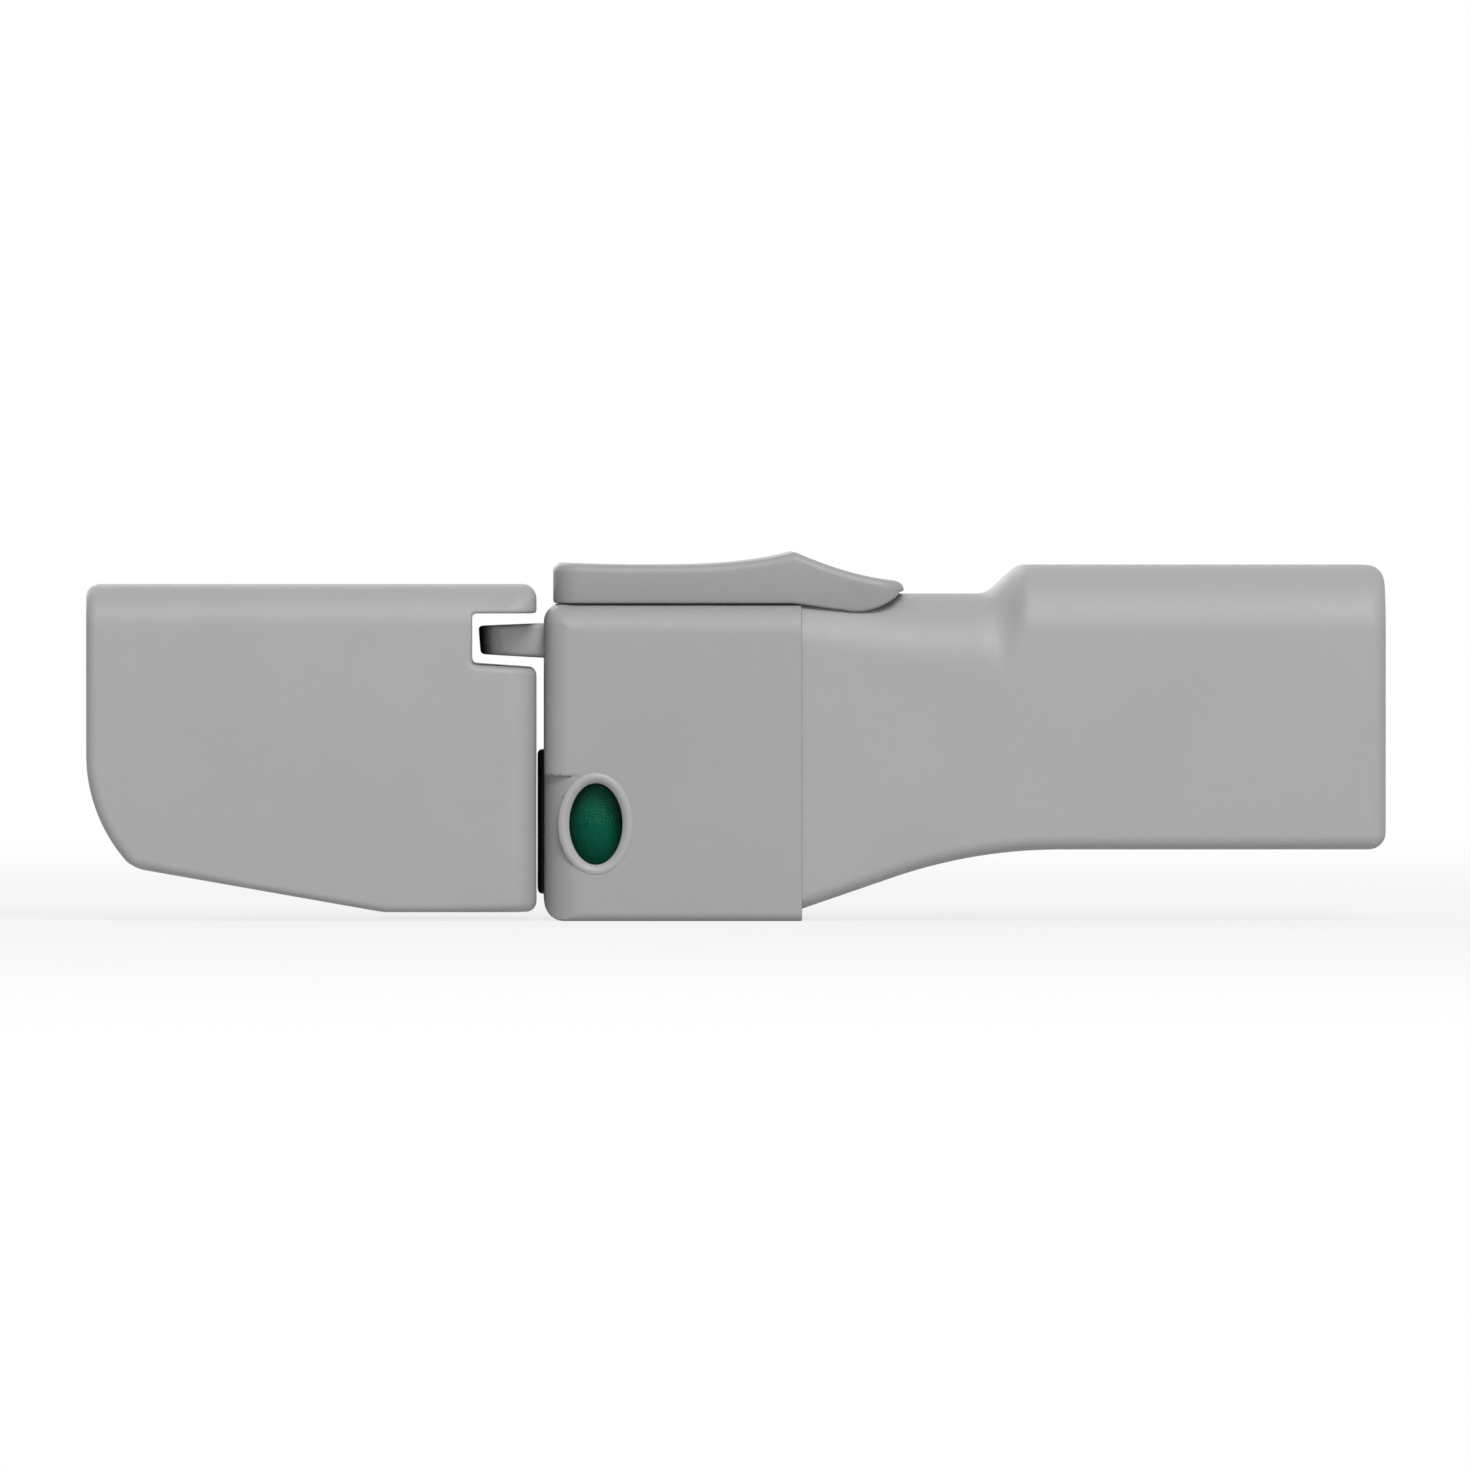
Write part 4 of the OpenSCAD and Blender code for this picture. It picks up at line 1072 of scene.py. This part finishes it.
def coil(node, name, body, turns):
    """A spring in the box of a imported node: centre line at angle t has x along the spring, whose first and last
    turn take END_SHARE of its length, and y and z on a circle; the wire's circle uses the line's two side
    directions."""
    low, high = span(node)
    radius = (high[2] - low[2] - WIRE) / 2
    cy, cz = (low[1] + high[1]) / 2, (low[2] + high[2]) / 2
    n = turns * PER_TURN
    s = np.linspace(0, 1, n)
    eased = np.interp(s, [0, 1 / turns, 1 - 1 / turns, 1], [0, END_SHARE, 1 - END_SHARE, 1])
    x = low[0] + WIRE / 2 + (high[0] - low[0] - WIRE) * eased
    t = 2 * np.pi * turns * s
    centre = np.stack([x, cy + radius * np.cos(t), cz + radius * np.sin(t)], axis=1)
    along = np.gradient(centre, axis=0)
    along /= np.linalg.norm(along, axis=1)[:, None]
    outward = np.stack([np.zeros(n), np.cos(t), np.sin(t)], axis=1)
    across = np.cross(along, outward)
    a = np.linspace(0, 2 * np.pi, PER_RING, endpoint=False)[None, :, None]
    ring = np.cos(a) * outward[:, None, :] + np.sin(a) * across[:, None, :]
    points = (centre[:, None, :] + WIRE / 2 * ring).reshape(-1, 3)
    return piece(name, points, grid_faces(n, PER_RING), zinc, body, "steel", [node])


spring = coil("tongue_spring", "tongue_coil", "slider", 9)
coil("feeler_spring", "feeler_coil", "lock_head", 8)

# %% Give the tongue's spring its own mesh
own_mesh(spring)

# %% [markdown]
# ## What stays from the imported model
#
# The chassis, the drum, the pin, the rod and the screws have the right shape already, and hardly show. They
# could be modelled again, but they only need their finish.

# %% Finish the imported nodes
STEEL_NODES = ("drum_pin", "spring_rod", "catch_screws", "head_screws", "handle_screws", "slider_screws")
finishes = {"lock_chassis": chassis_dark, "indicator_drum": drum_white, **dict.fromkeys(STEEL_NODES, zinc)}
for node, material in finishes.items():
    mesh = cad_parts[node].data
    mesh.materials.clear()
    mesh.materials.append(material)
print("finished", len(finishes), "packed nodes")

# %% [markdown]
# ## Floor, light and camera
#
# The latch stands on a pale floor that runs off into a white background. One soft lamp stands in front, high
# and a little to the right, so that edges that lean up are brighter than the faces, and those that lean away are
# darker. A weak one near the camera reaches into the notch, one behind lights the back, and the white room
# fills in the rest. The camera looks straight at the front, almost level, from three metres away, through a
# long lens.

# %% Rays that see the background


def sees_background(tree):
    """1 for a camera, glossy or transmitted ray and 0 for a ray that carries light from surface to surface."""
    path = add(tree, "LightPath", {}).outputs
    total = path["Is Camera Ray"]
    for kind in ("Is Glossy Ray", "Is Transmission Ray"):
        total = add(tree, "Math", {0: total, 1: path[kind]}, operation="MAXIMUM").outputs[0]
    return total


# %% Floor
FLOOR_RADIUS = 3.0
FADE = {"From Min": 0.12, "From Max": 0.7, "To Min": 0.8, "To Max": 1.0}
WHITE = (1, 1, 1, 1)


def floor_finish():
    """A pale floor. For rays that see the background it is partly plain white, by a share that rises from 0.8
    under the latch to 1 at 0.7 m, so it keeps the shadow and has no horizon."""
    material, tree, shader, place = begin("pale_floor")
    tone = blend(tree, remap(tree, noise(tree, place, 30.0), 0, 1), grey(0.60), grey(0.64))
    feed(tree, shader, {"Base Color": tone, "Roughness": 0.8, "Specular IOR Level": 0.2})
    white = add(tree, "Emission", {"Color": WHITE})
    reach = add(tree, "VectorMath", {0: place}, operation="LENGTH").outputs["Value"]
    fade = add(tree, "MapRange", {"Value": reach, **FADE}, interpolation_type="SMOOTHSTEP").outputs["Result"]
    share = add(tree, "Math", {0: sees_background(tree), 1: fade}, operation="MULTIPLY").outputs[0]
    mix = add(tree, "MixShader", {"Fac": share, 1: shader.outputs[0], 2: white.outputs[0]})
    feed(tree, tree.nodes["Material Output"], {"Surface": mix.outputs[0]})
    return material


def floor_disc(turns=96):
    """Rings of the floor at the latch's lowest height, from almost its middle to FLOOR_RADIUS, facing up."""
    angle = np.linspace(0, 2 * np.pi, turns, endpoint=False)
    rings = FLOOR_RADIUS * np.array([0.0001, 0.2, 1.0])[:, None]
    x, y = rings * np.cos(angle), rings * np.sin(angle)
    points = np.stack([x, y, np.full(x.shape, cad_bounds[0][2])], axis=-1).reshape(-1, 3)
    mesh = bpy.data.meshes.new("floor")
    mesh.from_pydata(points.tolist(), [], grid_faces(3, turns)[:, ::-1].tolist())
    mesh.materials.append(floor_finish())
    return mesh


floor = bpy.data.objects.new("floor", floor_disc())
bpy.context.scene.collection.objects.link(floor)
print("the floor is", 2 * FLOOR_RADIUS, "m across")

# %% Lamps
middle = (np.array(cad_bounds[0]) + np.array(cad_bounds[1])) / 2


def aim(thing, target):
    """Turns a lamp or camera to look at the target."""
    direction = Vector(target) - thing.location
    thing.rotation_euler = direction.to_track_quat("-Z", "Y").to_euler()


def lamp(name, place, size, power):
    """A square soft lamp that looks at the latch."""
    data = bpy.data.lights.new(name, "AREA")
    data.size = size
    data.energy = power
    thing = bpy.data.objects.new(name, data)
    thing.location = place
    bpy.context.scene.collection.objects.link(thing)
    aim(thing, middle)


lamp("key", (0.40, -1.18, 1.04), 0.7, 17.8)
lamp("front", (0.10, -1.7, 0.1), 0.9, 3.4)
lamp("rear", (-0.6, 1.3, 0.7), 1.2, 10.0)

# %% Room light
ROOM_LIGHT = 0.28
world = bpy.data.worlds.new("white_room")
world.use_nodes = True
bpy.context.scene.world = world
room = world.node_tree
level = add(room, "MapRange", {"Value": sees_background(room), "To Min": ROOM_LIGHT, "To Max": 1.0})
feed(room, room.nodes["Background"], {"Color": WHITE, "Strength": level.outputs["Result"]})
print("lamps:", [light.name for light in bpy.data.lights], "and a room at", ROOM_LIGHT)

# %% Camera
DISTANCE = 3.0
AZIMUTH = math.radians(-0.55)
ELEVATION = math.radians(0.6)
VIEW_WIDTH = 0.172
SENSOR = 36
camera = bpy.data.objects.new("camera", bpy.data.cameras.new("camera"))
camera.location = middle + DISTANCE * np.array(
    [math.sin(AZIMUTH), -math.cos(AZIMUTH) * math.cos(ELEVATION), math.sin(ELEVATION)]
)
camera.data.sensor_width = SENSOR
camera.data.lens = SENSOR * DISTANCE / VIEW_WIDTH
camera.data.clip_end = 20
bpy.context.scene.collection.objects.link(camera)
aim(camera, middle)
bpy.context.scene.camera = camera
bpy.context.scene.view_settings.view_transform = "Standard"
print("the camera stands", round(camera.location.length, 2), "m away, lens", round(camera.data.lens), "mm")

# %% Update the scene
bpy.context.view_layer.update()
